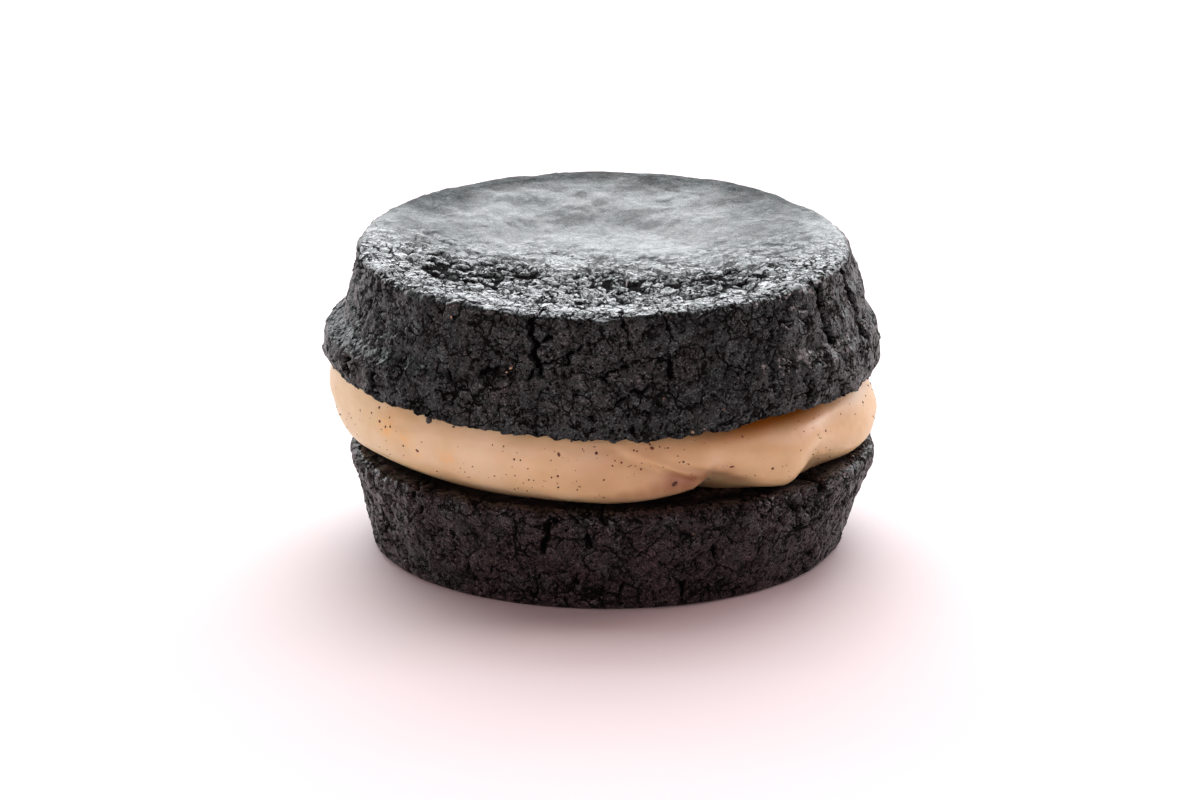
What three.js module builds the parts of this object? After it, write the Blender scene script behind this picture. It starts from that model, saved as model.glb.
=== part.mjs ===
import * as THREE from "three";

// A cookie sandwich: two thick black cookies, each baked in a round tapered tin, with tan spiced
// cream between them. The upper cookie lies upside down, so its dished tin side is on top and the
// crust that rose over the tin's edge hangs round its lower end as an uneven lip.
// Millimetres, +Z up, front towards -Y. The origin is on the resting face, under the middle.

// Heights
const BED_Z = 11.9; // top of the lower cookie, which carries the cream
const UNDER_Z = 19.8; // underside of the upper cookie
const CREST_Z = 34.3; // crest of the rim round the dish
const SEAT_GAP = 0.3; // clearance kept between the cream and the lower cookie
const HEAD_GAP = 0.4; // and the upper one

// Lower cookie
const FOOT_RADIUS = 26.2; // wall just above the rounded foot
const FOOT_ROUND = 0.8;
const BED_RADIUS = 29.1; // widest part, at the top of the wall
const BED_EDGE = 1.3; // rounding of that edge
const FOOT_SHIFT = 0.4; // the foot and the top edge lie this far to +X of the middle
const BED_SHIFT = 1.1;

// Upper cookie
const WALL_LOW_RADIUS = 29.2; // tapered wall, carried down to the underside
const WALL_HIGH_RADIUS = 27.6; // and at the rim
const WALL_TOP_Z = 33.2; // where the wall rounds over into the rim
const LIP_TOP_Z = 27.2; // where the lip steps out of the wall
const LIP_STEP = 0.2; // how far the lip stands out at the front
const LIP_TUCK = 0.5; // share of that left at its lower end
const RAGGED = 0.3; // unevenness of that end
const UNDER_FLAT_RADIUS = 24; // the underside is flat as far out as this
const RIM_INNER_RADIUS = 22.4;
const DISH_FLOOR_RADIUS = 8.5;
const DISH_DEPTH = 2.6;
const CROWN_LEAN = 0.7; // the back of the rim is this much higher than the middle
const UPPER_SHIFT = -0.3; // the upper cookie lies this far to +X of the middle

// Cream
const CREAM_RADIUS = 28.8; // bulge at the front
const CREAM_FOOT_RADIUS = 26; // where the cream leaves the lower cookie
const CREAM_HEAD_RADIUS = 27.6; // where it meets the upper cookie
const BULGE_Z = 16.4;
const FOLD_STEP = 1.0; // how far the folded end of the cream stands out

// Roughness of the crust, as heights of the crags
const WALL_CRAG = 0.34;
const DISH_CRAG = 0.5;
const RIM_CRAG = 0.22;

// Steps round each solid
const UPPER_SEGMENTS = 116;
const CREAM_SEGMENTS = 112;
const LOWER_SEGMENTS = 112;

const { clamp, smoothstep, degToRad, radToDeg, lerp } = THREE.MathUtils;

// Lumps and dips round an outline: bearing from +X, half width and height, in degrees and mm.
const LIP_SWELL = [
  { bearing: 5, spread: 50, height: 1.8 },
  { bearing: 95, spread: 42, height: 0.6 },
  { bearing: 180, spread: 42, height: 1.7 },
];
const LIP_TOP_DIP = [
  { bearing: 180, spread: 45, height: 1.2 },
  { bearing: 0, spread: 40, height: 0.6 },
];
const LIP_DROOP = [
  { bearing: 6, spread: 20, height: 1.7 },
  { bearing: -45, spread: 22, height: 0.4 },
  { bearing: -155, spread: 38, height: -1.7 },
  { bearing: 100, spread: 40, height: 0.4 },
];
const CROWN_SWELL = [
  { bearing: 180, spread: 48, height: -0.75 },
  { bearing: 32, spread: 15, height: -0.8 },
];
const CREAM_SWELL = [
  { bearing: 0, spread: 26, height: 1.2 },
  { bearing: -30, spread: 8, height: -0.6 },
  { bearing: -46, spread: 15, height: 0.6 },
  { bearing: 180, spread: 38, height: 1.6 },
  { bearing: 70, spread: 24, height: 0.9 },
  { bearing: 120, spread: 16, height: -0.5 },
];
const CREAM_FOOT_SWELL = [
  { bearing: 2, spread: 24, height: 1.9 },
  { bearing: -30, spread: 7, height: -2.0 },
  { bearing: -46, spread: 12, height: 1.2 },
  { bearing: -66, spread: 10, height: -4.0 },
  { bearing: 178, spread: 30, height: 0.3 },
  { bearing: 75, spread: 26, height: 1.2 },
];
const CREAM_HEAD_SWELL = [
  { bearing: -42, spread: 20, height: -2.1 },
  { bearing: 186, spread: 34, height: 2.5 },
  { bearing: 8, spread: 20, height: 1.4 },
];

// Cracks that open into the crust: bearing, top and bottom height, half width, depth and lean.
const UPPER_CRACKS = [
  { bearing: -106, top: 35, bottom: 27.6, width: 0.9, depth: 0.9, lean: 0.06 },
  { bearing: -79, top: 35, bottom: 31, width: 0.8, depth: 0.5, lean: -0.05 },
  { bearing: -32, top: 34, bottom: 26, width: 1.1, depth: 0.6, lean: 0.1 },
  { bearing: -17, top: 34, bottom: 25, width: 1.2, depth: 0.7, lean: 0.08 },
  { bearing: -146, top: 23, bottom: 18, width: 0.9, depth: 0.7, lean: 0 },
  { bearing: -157, top: 24, bottom: 18, width: 0.9, depth: 0.6, lean: 0 },
  { bearing: 128, top: 35, bottom: 27, width: 1.0, depth: 0.8, lean: -0.06 },
  { bearing: 62, top: 34, bottom: 28, width: 1.0, depth: 0.6, lean: 0.05 },
];
const LOWER_CRACKS = [
  { bearing: -137, top: 12, bottom: 6.5, width: 0.9, depth: 0.7, lean: 0.05 },
  { bearing: -105, top: 11.5, bottom: 7.2, width: 1.1, depth: 0.9, lean: 0 },
  { bearing: -95, top: 11, bottom: 8, width: 0.9, depth: 0.6, lean: 0.1 },
  { bearing: -123, top: 6.5, bottom: 2, width: 0.9, depth: 0.6, lean: 0 },
  { bearing: -71, top: 5, bottom: 1.8, width: 0.9, depth: 0.6, lean: 0 },
  { bearing: -36, top: 11.5, bottom: 6, width: 1.0, depth: 0.6, lean: 0.1 },
  { bearing: 40, top: 11.5, bottom: 5, width: 1.0, depth: 0.7, lean: -0.05 },
  { bearing: 110, top: 10, bottom: 4, width: 1.0, depth: 0.7, lean: 0.05 },
];

// A repeatable number from 0 to 1 for each whole-number place.
function scatter(i, j, k, seed) {
  let h = Math.imul(i, 0x27d4eb2d) + Math.imul(j, 0x165667b1);
  h = (h + Math.imul(k, 0x1e3779b1) + Math.imul(seed, 0x05ebca6b)) | 0;
  h = Math.imul(h ^ (h >>> 15), 0x2c1b3c6d);
  h = Math.imul(h ^ (h >>> 12), 0x297a2d39);
  return ((h ^ (h >>> 15)) >>> 0) / 4294967296;
}

// Smooth noise from -1 to 1, with one hill or hollow about every unit.
function softNoise(x, y, z, seed) {
  const [i, j, k] = [Math.floor(x), Math.floor(y), Math.floor(z)];
  const ease = (t) => t * t * (3 - 2 * t);
  const [u, v, w] = [ease(x - i), ease(y - j), ease(z - k)];
  const row = (b, c) => lerp(scatter(i, b, c, seed), scatter(i + 1, b, c, seed), u);
  const sheet = (c) => lerp(row(j, c), row(j + 1, c), v);
  return 2 * lerp(sheet(k), sheet(k + 1), w) - 1;
}

// Crags of two sizes, from -1 to 1.
function crags(x, y, z, seed) {
  const broad = softNoise(x / 3.9, y / 3.9, z / 3.4, seed);
  const small = softNoise(x / 1.9, y / 1.9, z / 1.8, seed + 1);
  return 0.62 * broad + 0.38 * small;
}

// Signed turn from one bearing to another, in degrees.
function turnFrom(bearing, centre) {
  const away = degToRad(bearing - centre);
  return radToDeg(Math.atan2(Math.sin(away), Math.cos(away)));
}

// Sum of the lumps of an outline at one bearing.
function outline(lumps, bearing) {
  return lumps.reduce(
    (sum, l) => sum + l.height * Math.exp(-((turnFrom(bearing, l.bearing) / l.spread) ** 2)),
    0,
  );
}

// How deep the cracks cut at a place on a wall.
function crackDepth(cracks, bearing, radius, z) {
  let deepest = 0;
  for (const c of cracks) {
    const middle = c.bearing + radToDeg(((c.top - z) * c.lean) / radius);
    const across = degToRad(turnFrom(bearing, middle)) * radius;
    const along = smoothstep(z, c.bottom, c.bottom + 1.5) * (1 - smoothstep(z, c.top, c.top + 1));
    deepest = Math.max(deepest, c.depth * along * Math.exp(-((across / c.width) ** 2)));
  }
  return deepest;
}

// Radius of the lip's lower end, and the height of the underside, which droops or lifts there.
function lipFootRadius(bearing) {
  return WALL_LOW_RADIUS + LIP_TUCK * (LIP_STEP + outline(LIP_SWELL, bearing));
}
function underHeight(radius, bearing) {
  const width = lipFootRadius(bearing) - UNDER_FLAT_RADIUS;
  const out = clamp((radius - UNDER_FLAT_RADIUS) / width, 0, 1);
  return UNDER_Z - outline(LIP_DROOP, bearing) * out;
}

// A closed solid of revolution whose rings are then reshaped. A stretch of the profile has a
// curve of (radius, height), the number of steps along it and the crag height on its crust.
function turned(stretches, segments, reshape) {
  const rings = stretches.flatMap(({ curve, steps, crag }, at) => {
    const points = curve.getSpacedPoints(steps);
    const last = at === stretches.length - 1;
    return (last ? points : points.slice(0, -1)).map((point) => ({ point, crag }));
  });
  const geometry = new THREE.LatheGeometry(
    rings.map((ring) => ring.point),
    segments,
  ).rotateX(Math.PI / 2);
  const place = geometry.attributes.position;
  for (let n = 0; n < place.count; n++) {
    const [x, y, z] = [place.getX(n), place.getY(n), place.getZ(n)];
    const radius = Math.hypot(x, y);
    const bearing = radToDeg(Math.atan2(y, x));
    const made = reshape({ radius, bearing, z, crag: rings[n % rings.length].crag });
    const grow = radius > 0 ? made.radius / radius : 1;
    place.setXYZ(n, x * grow + (made.shift ?? 0), y * grow, made.z);
  }
  geometry.computeVertexNormals();
  return geometry;
}

const at = (radius, z) => new THREE.Vector2(radius, z);
const line = (a, b) => new THREE.LineCurve(a, b);
const bend = (a, b, c) => new THREE.QuadraticBezierCurve(a, b, c);

function lowerCookie() {
  const wallFoot = at(FOOT_RADIUS, FOOT_ROUND);
  const wallTop = at(BED_RADIUS, BED_Z - BED_EDGE);
  const flatEdge = at(BED_RADIUS - BED_EDGE, BED_Z);
  const base = FOOT_RADIUS - FOOT_ROUND;
  const profile = [
    { curve: line(at(0, 0), at(base, 0)), steps: 2, crag: 0 },
    { curve: bend(at(base, 0), at(FOOT_RADIUS, 0), wallFoot), steps: 2, crag: 0 },
    { curve: line(wallFoot, wallTop), steps: 6, crag: WALL_CRAG },
    { curve: bend(wallTop, at(BED_RADIUS, BED_Z), flatEdge), steps: 2, crag: WALL_CRAG },
    { curve: line(flatEdge, at(CREAM_FOOT_RADIUS, BED_Z)), steps: 1, crag: 0 },
    { curve: line(at(CREAM_FOOT_RADIUS, BED_Z), at(0, BED_Z)), steps: 2, crag: 0 },
  ];
  return turned(profile, LOWER_SEGMENTS, ({ radius, bearing, z, crag }) => {
    const turn = degToRad(bearing);
    const [x, y] = [radius * Math.cos(turn), radius * Math.sin(turn)];
    const share = clamp(z / BED_Z, 0, 1);
    const bumps = crag * crags(x, y, z, 5);
    const cracked = crag > 0 ? crackDepth(LOWER_CRACKS, bearing, radius, z) : 0;
    const sag = crag > 0 ? 0.15 * softNoise(Math.cos(turn) * 2, Math.sin(turn) * 2, 0, 8) : 0;
    return {
      radius: radius + bumps - cracked,
      z: z + sag * share,
      shift: lerp(FOOT_SHIFT, BED_SHIFT, share),
    };
  });
}

function upperCookie() {
  const underFlat = at(UNDER_FLAT_RADIUS, UNDER_Z);
  const lipFoot = at(WALL_LOW_RADIUS, UNDER_Z);
  const wallTop = at(WALL_HIGH_RADIUS, WALL_TOP_Z);
  const crest = at((RIM_INNER_RADIUS + WALL_HIGH_RADIUS) / 2 + 0.4, CREST_Z);
  const rimInner = at(RIM_INNER_RADIUS, CREST_Z - 0.35);
  const slope = new THREE.SplineCurve([
    rimInner,
    at(lerp(RIM_INNER_RADIUS, DISH_FLOOR_RADIUS, 0.35), CREST_Z - 0.42 * DISH_DEPTH),
    at(lerp(RIM_INNER_RADIUS, DISH_FLOOR_RADIUS, 0.7), CREST_Z - 0.8 * DISH_DEPTH),
    at(DISH_FLOOR_RADIUS, CREST_Z - 0.92 * DISH_DEPTH),
    at(0, CREST_Z - DISH_DEPTH),
  ]);
  const profile = [
    { curve: line(at(0, UNDER_Z), underFlat), steps: 2, crag: 0 },
    { curve: line(underFlat, lipFoot), steps: 1, crag: RIM_CRAG },
    { curve: line(lipFoot, wallTop), steps: 9, crag: WALL_CRAG },
    { curve: bend(wallTop, at(WALL_HIGH_RADIUS, CREST_Z), crest), steps: 2, crag: RIM_CRAG },
    { curve: line(crest, rimInner), steps: 1, crag: RIM_CRAG },
    { curve: slope, steps: 18, crag: DISH_CRAG },
  ];
  return turned(profile, UPPER_SEGMENTS, ({ radius, bearing, z, crag }) => {
    const turn = degToRad(bearing);
    const [x, y] = [radius * Math.cos(turn), radius * Math.sin(turn)];
    const onWall = smoothstep(radius, 25.6, 27.4) * (1 - smoothstep(z, WALL_TOP_Z, CREST_Z));
    const lipTop = LIP_TOP_Z - outline(LIP_TOP_DIP, bearing);
    const lip = (1 - smoothstep(z, lipTop - 1.8, lipTop + 0.9)) * onWall;
    const tuck = lerp(LIP_TUCK, 1, smoothstep(z, UNDER_Z, UNDER_Z + 2));
    const swell = (LIP_STEP + outline(LIP_SWELL, bearing)) * lip * tuck;
    const high = smoothstep(z, lipTop, WALL_TOP_Z);
    const crown = outline(CROWN_SWELL, bearing) * high * smoothstep(radius, 20, 25);
    const lean = CROWN_LEAN * (y / WALL_HIGH_RADIUS) * smoothstep(z, UNDER_Z + 1, WALL_TOP_Z);
    const edge = smoothstep(radius, UNDER_FLAT_RADIUS, UNDER_FLAT_RADIUS + 2);
    const droop = outline(LIP_DROOP, bearing) * edge * (1 - smoothstep(z, UNDER_Z, LIP_TOP_Z));
    const low = onWall * (1 - smoothstep(z, UNDER_Z, UNDER_Z + 2.5));
    const ragged = RAGGED * low * (1 + softNoise(x / 2.6, y / 2.6, 0, 11));
    const bumps = crag * crags(x, y, z, 2);
    const cracked = crackDepth(UPPER_CRACKS, bearing, radius, z);
    const topCut = 0.6 * cracked * smoothstep(radius, 21, 25);
    return {
      radius: radius + swell + crown + onWall * (bumps - cracked),
      z: z + lean - droop + ragged + (1 - onWall) * (bumps - topCut),
      shift: UPPER_SHIFT,
    };
  });
}

// The cream fills the room between the two cookies. Its bulge is told for three heights, and a
// fold runs across the front, where one end of the cream was laid over the rest.
function cream() {
  const [low, high] = [BED_Z + SEAT_GAP, UNDER_Z - HEAD_GAP];
  const footEdge = at(CREAM_FOOT_RADIUS, low);
  const headEdge = at(CREAM_HEAD_RADIUS, high);
  const topFlat = at(UNDER_FLAT_RADIUS, high);
  const side = new THREE.SplineCurve([
    footEdge,
    at(lerp(CREAM_FOOT_RADIUS, CREAM_RADIUS, 0.68), low + 0.9),
    at(CREAM_RADIUS, BULGE_Z - 0.6),
    at(CREAM_RADIUS - 0.2, BULGE_Z + 1.2),
    headEdge,
  ]);
  const profile = [
    { curve: line(at(0, low), footEdge), steps: 2, crag: 0 },
    { curve: side, steps: 9, crag: 0 },
    { curve: line(headEdge, topFlat), steps: 1, crag: 0 },
    { curve: line(topFlat, at(0, high)), steps: 1, crag: 0 },
  ];
  return turned(profile, CREAM_SEGMENTS, ({ radius, bearing, z }) => {
    const rise = clamp((z - low) / (high - low), 0, 1);
    const footShare = 1 - smoothstep(rise, 0, 0.45);
    const headShare = smoothstep(rise, 0.6, 1);
    const midShare = 1 - footShare - headShare;
    const outer = smoothstep(radius, UNDER_FLAT_RADIUS, CREAM_FOOT_RADIUS);
    const fold = -50 - 34 * rise;
    const past = turnFrom(bearing, fold);
    const lobe = smoothstep(past, -1.5, 2.5) * Math.exp(-(Math.max(past, 0) / 26));
    const crease = Math.exp(-(((past + 3.5) / 4) ** 2));
    const swell =
      footShare * outline(CREAM_FOOT_SWELL, bearing) +
      midShare * outline(CREAM_SWELL, bearing) +
      headShare * outline(CREAM_HEAD_SWELL, bearing) +
      (1 - headShare) * (FOLD_STEP * lobe - 0.4 * crease);
    const made = radius + outer * swell;
    const ceiling = underHeight(made, bearing) - HEAD_GAP;
    return {
      radius: made,
      z: lerp(low, ceiling, rise),
      shift: lerp(BED_SHIFT, UPPER_SHIFT, smoothstep(rise, 0, 0.8)),
    };
  });
}

function piece(name, geometry, color, roughness) {
  const mesh = new THREE.Mesh(
    geometry,
    new THREE.MeshStandardMaterial({ color, roughness, metalness: 0 }),
  );
  mesh.name = name;
  return mesh;
}

const sandwich = new THREE.Group();
sandwich.name = "cookie_sandwich";
sandwich.add(piece("lower_cookie", lowerCookie(), 0x231d1e, 0.75));
sandwich.add(piece("cream_filling", cream(), 0xd9ae86, 0.45));
sandwich.add(piece("upper_cookie", upperCookie(), 0x222021, 0.6));

export default sandwich;
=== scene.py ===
"""A cookie sandwich: two thick black cookies with tan spiced cream between them.

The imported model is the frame. Each of its solids is replaced by a dense shell of the same form,
with the crumb, cracks and pits of the crust or the fold and specks of the cream. Forms are worked
out in millimetres, in the part's own frame, and written in metres.
"""

import math

import bmesh
import bpy
import numpy as np
from bpy.props import FloatProperty, FloatVectorProperty, IntProperty, PointerProperty
from mathutils import Matrix, Vector


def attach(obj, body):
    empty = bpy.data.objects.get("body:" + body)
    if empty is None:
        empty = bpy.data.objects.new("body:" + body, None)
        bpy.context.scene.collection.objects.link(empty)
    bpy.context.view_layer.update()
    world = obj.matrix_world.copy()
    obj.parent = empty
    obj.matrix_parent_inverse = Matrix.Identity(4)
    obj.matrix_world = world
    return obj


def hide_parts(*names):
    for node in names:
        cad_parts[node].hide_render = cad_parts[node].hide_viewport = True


bl_info = {
    "name": "Cookie Sandwich",
    "version": (1, 0, 0),
    "blender": (4, 5, 0),
    "location": "3D View > Sidebar > Cookie Sandwich",
    "description": "Models two black cookies with a crumbly crust and the tan cream between them",
    "category": "Add Mesh",
}

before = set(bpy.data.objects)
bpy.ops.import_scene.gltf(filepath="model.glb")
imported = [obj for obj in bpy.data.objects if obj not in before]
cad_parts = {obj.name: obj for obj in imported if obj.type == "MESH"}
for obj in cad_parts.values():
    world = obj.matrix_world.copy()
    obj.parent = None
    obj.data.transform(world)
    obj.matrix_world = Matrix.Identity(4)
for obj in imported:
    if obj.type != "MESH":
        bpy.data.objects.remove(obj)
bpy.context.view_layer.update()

MM = 0.001

# Heights of the frame, in millimetres
BED_Z = 11.9
UNDER_Z = 19.8
CREST_Z = 34.3

# Lower cookie
FOOT_RADIUS = 26.2
FOOT_ROUND = 1.2
BED_RADIUS = 29.1
BED_EDGE = 1.3
FOOT_SHIFT = 0.4
BED_SHIFT = 1.1

# Upper cookie; its top turns into its wall between the two radii of RIM_BLEND
WALL_LOW_RADIUS = 29.2
WALL_HIGH_RADIUS = 27.6
WALL_TOP_Z = 33.2
CREST_RADIUS = 25.4
SHOULDER_RADIUS = 26.5
LIP_TOP_Z = 27.2
LIP_STEP = 0.2
LIP_TUCK = 0.5
RAGGED = 0.3
UNDER_FLAT_RADIUS = 24.0
RIM_BLEND = (25.6, 27.4)
RIM_INNER_RADIUS = 22.4
DISH_FLOOR_RADIUS = 8.5
DISH_DEPTH = 2.6
CROWN_LEAN = 0.7
UPPER_SHIFT = -0.3

# How far the points of the crust crowd towards the front
FRONT_SHARE = 0.28

# Faces across the top and round the pieces, and how far apart their rows are: in mm, but for
# the cream as a share of its side
TOP_ACROSS = 180
CRUST_AROUND = 760
CREAM_AROUND = 640
FINE_ROW = 0.2
FLAT_ROW = 0.3
UNDER_ROW = 0.6
CREAM_ROW = 1 / 72

# Where the noise of each part starts, so that no two parts share a pattern
LOWER_SEED = 200
DISH_SEED = 300
WALL_SEED = 400
SPECK_SEED = 500

# Crags of the crust that the frame has too
WALL_CRAG = 0.34
DISH_CRAG = 0.3
RIM_CRAG = 0.22

# Lumps and dips round an outline: bearing from +X and half width in degrees, height in mm
LIP_SWELL = [(5, 50, 1.8), (95, 42, 0.6), (180, 42, 1.7)]
LIP_TOP_DIP = [(180, 45, 1.2), (0, 40, 0.6)]
LIP_DROOP = [(8, 18, 1.5), (-46, 19, -0.9), (-14, 12, -0.45), (-98, 8, -0.4), (-155, 38, -1.45),
             (100, 40, 0.4), (-136, 10, 0.2), (-115, 4, -0.35)]
CROWN_SWELL = [(180, 48, -0.75), (32, 15, -0.8)]
WAIST_SWELL = [(-4, 34, 1.1)]

# The cream's side at its foot, chin, belly, shoulder and head: radius in mm and its lumps
CREAM_LEVELS = [
    (24.6, [(0, 26, 1.6), (180, 34, 1.6), (75, 26, 1.0), (-69, 11, -4.2)]),
    (27.9, [(0, 24, 1.3), (-31, 9, -0.9), (-46, 12, 0.7), (180, 34, 1.8), (75, 26, 0.9)]),
    (28.8, [(0, 26, 1.6), (-31, 9, -0.6), (-46, 14, 0.9), (180, 38, 1.3), (70, 24, 0.9)]),
    (28.6, [(0, 26, 1.6), (-30, 8, -0.4), (-46, 16, 0.3), (180, 38, 1.5), (120, 16, -0.5)]),
    (27.6, [(8, 20, 1.6), (-42, 20, -1.4), (186, 34, 2.3)]),
]
# Shares of the side at which its foot, the turn below its chin, and its other levels stand
CREAM_SHARES = [0.0, 0.12, 0.26, 0.52, 0.78, 1.0]
# Radius of the plain drum that the cream is made from, and how far it sinks into each cookie
CREAM_DRUM = 28.0
CREAM_SINK = 0.05

# Bearing and height of the cream's lower edge, below which it turns in under itself
CREAM_EDGE = [
    (-180, 12.4), (-158, 12.75), (-127, 12.9), (-108, 12.75), (-99, 12.5), (-91, 12.35),
    (-85, 12.5), (-80, 12.7), (-77, 12.9), (-73.5, 13.1), (-70.5, 13.4), (-68.5, 13.9),
    (-66.5, 14.7), (-63, 14.5), (-57.5, 13.5), (-53.5, 12.85), (-49, 12.4), (-46, 12.2),
    (-44, 12.4), (-41.4, 12.9), (-39, 13.35), (-36, 13.4), (-32, 12.85), (-27, 12.4),
    (-22, 12.2), (-17, 12.05), (-7, 12.0), (0, 12.0), (30, 12.5), (75, 12.4), (110, 12.9),
    (150, 12.5), (180, 12.4),
]
# Bearing, height and step of the two edges where one end of the cream folds over the rest
FOLD_LEFT = [(-90, 19.9, 0.0), (-86.2, 19.0, 0.15), (-82.9, 18.0, 0.3), (-79.7, 17.2, 0.6),
             (-76.8, 16.6, 1.0), (-74.2, 15.9, 1.4), (-71.9, 15.4, 1.3), (-69.2, 15.0, 0.7),
             (-65, 14.4, 0.0)]
FOLD_RIGHT = [(-77, 18.2, 0.0), (-74.0, 17.5, 0.25), (-71.9, 17.0, 0.5), (-69.6, 16.4, 0.8),
              (-67.3, 15.8, 0.9), (-64.9, 15.1, 0.9), (-61.3, 14.5, 0.7), (-57.5, 13.9, 0.4),
              (-52, 13.3, 0.0)]

# Cracks as paths of (bearing, height), with half width and depth in mm
UPPER_CRACKS = [
    (0.30, 1.1, [(-103.8, 36.3), (-104.6, 34.8), (-105.9, 33.3), (-106.1, 32.1),
                 (-105.1, 31.0), (-104.7, 29.9), (-103.7, 29.1), (-102.9, 27.8)]),
    (0.16, 0.8, [(-103.8, 29.0), (-101.4, 28.9), (-97.4, 29.2), (-94.7, 30.9)]),
    (0.16, 0.7, [(-103.8, 29.0), (-105.1, 27.9), (-106.9, 27.2)]),
    (0.18, 0.7, [(-112.0, 28.1), (-114.5, 27.6), (-117.2, 27.0)]),
    (0.14, 0.6, [(-114.3, 29.9), (-112.2, 29.2)]),
    (0.20, 0.7, [(-127.0, 26.3), (-125.5, 26.5), (-123.8, 25.8)]),
    (0.20, 0.7, [(-103.4, 31.5), (-101.2, 31.7)]),
    (0.16, 0.6, [(-96.0, 30.2), (-94.3, 31.0)]),
    (0.18, 0.7, [(-85.6, 35.6), (-84.9, 34.4), (-84.7, 33.5), (-83.4, 32.6), (-83.6, 30.9)]),
    (0.15, 0.6, [(-76.0, 35.4), (-75.3, 34.2), (-75.0, 33.2), (-74.7, 30.7),
                 (-75.3, 28.8), (-74.3, 27.3)]),
    (0.14, 0.6, [(-79.3, 26.7), (-84.6, 25.2), (-86.6, 24.1)]),
    (0.16, 0.6, [(-80.3, 23.8), (-79.3, 22.8)]),
    (0.16, 0.6, [(-90.0, 28.1), (-88.7, 26.9)]),
    (0.22, 0.7, [(-92.6, 22.7), (-91.9, 22.0)]),
    (0.13, 0.6, [(-96.6, 26.2), (-94.7, 25.1)]),
    (0.14, 0.6, [(-87.9, 28.3), (-84.0, 28.8)]),
    (0.16, 0.7, [(-83.1, 21.5), (-82.7, 20.2)]),
    (0.40, 0.8, [(-146.0, 23.2), (-145.0, 20.6)]),
    (0.35, 0.8, [(-157.0, 24.3), (-156.0, 21.0)]),
    (0.30, 0.8, [(-32.0, 33.5), (-31.0, 29.0), (-29.5, 27.0)]),
    (0.35, 0.9, [(-17.0, 33.5), (-16.0, 28.0), (-14.5, 25.5)]),
    (0.30, 0.9, [(128.0, 34.5), (129.5, 31.0), (131.0, 27.5)]),
    (0.26, 0.8, [(62.0, 34.0), (60.5, 31.0), (61.5, 28.0)]),
    (0.24, 0.8, [(160.0, 33.0), (158.5, 29.0)]),
    (0.26, 0.8, [(96.0, 26.0), (94.0, 22.5)]),
]
LOWER_CRACKS = [
    (0.28, 0.8, [(-138.6, 11.8), (-137.9, 10.6)]),
    (0.24, 0.8, [(-135.9, 10.0), (-136.3, 8.4)]),
    (0.36, 1.0, [(-103.1, 10.9), (-104.5, 9.4), (-105.2, 8.1), (-104.3, 6.9)]),
    (0.28, 0.8, [(-95.1, 8.9), (-94.0, 7.5)]),
    (0.26, 0.8, [(-124.1, 4.5), (-124.7, 3.3), (-123.4, 2.2)]),
    (0.18, 0.6, [(-97.2, 4.5), (-97.6, 2.8)]),
    (0.22, 0.7, [(-91.5, 2.9), (-91.7, 1.5)]),
    (0.22, 0.7, [(-72.5, 3.0), (-72.2, 1.2)]),
    (0.24, 0.7, [(-57.9, 3.5), (-58.4, 1.5)]),
    (0.20, 0.7, [(-66.2, 7.3), (-64.7, 5.4)]),
    (0.22, 0.7, [(-92.3, 11.7), (-91.3, 10.7)]),
    (0.20, 0.6, [(-85.6, 11.4), (-84.7, 10.9)]),
    (0.16, 0.6, [(-115.7, 6.3), (-116.2, 4.7)]),
    (0.26, 0.8, [(-47.6, 11.0), (-45.7, 9.4)]),
    (0.26, 0.8, [(-36.8, 12.0), (-39.0, 10.9)]),
    (0.22, 0.7, [(-52.9, 6.1), (-54.3, 5.0)]),
    (0.20, 0.6, [(-106.4, 4.2), (-106.9, 1.4)]),
    (0.20, 0.6, [(-87.0, 3.6), (-87.5, 2.1)]),
    (0.30, 0.8, [(40.0, 11.6), (38.5, 8.0), (39.0, 5.5)]),
    (0.28, 0.8, [(110.0, 10.0), (111.5, 6.0), (110.5, 4.0)]),
    (0.26, 0.8, [(170.0, 11.0), (168.5, 7.5)]),
]

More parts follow.
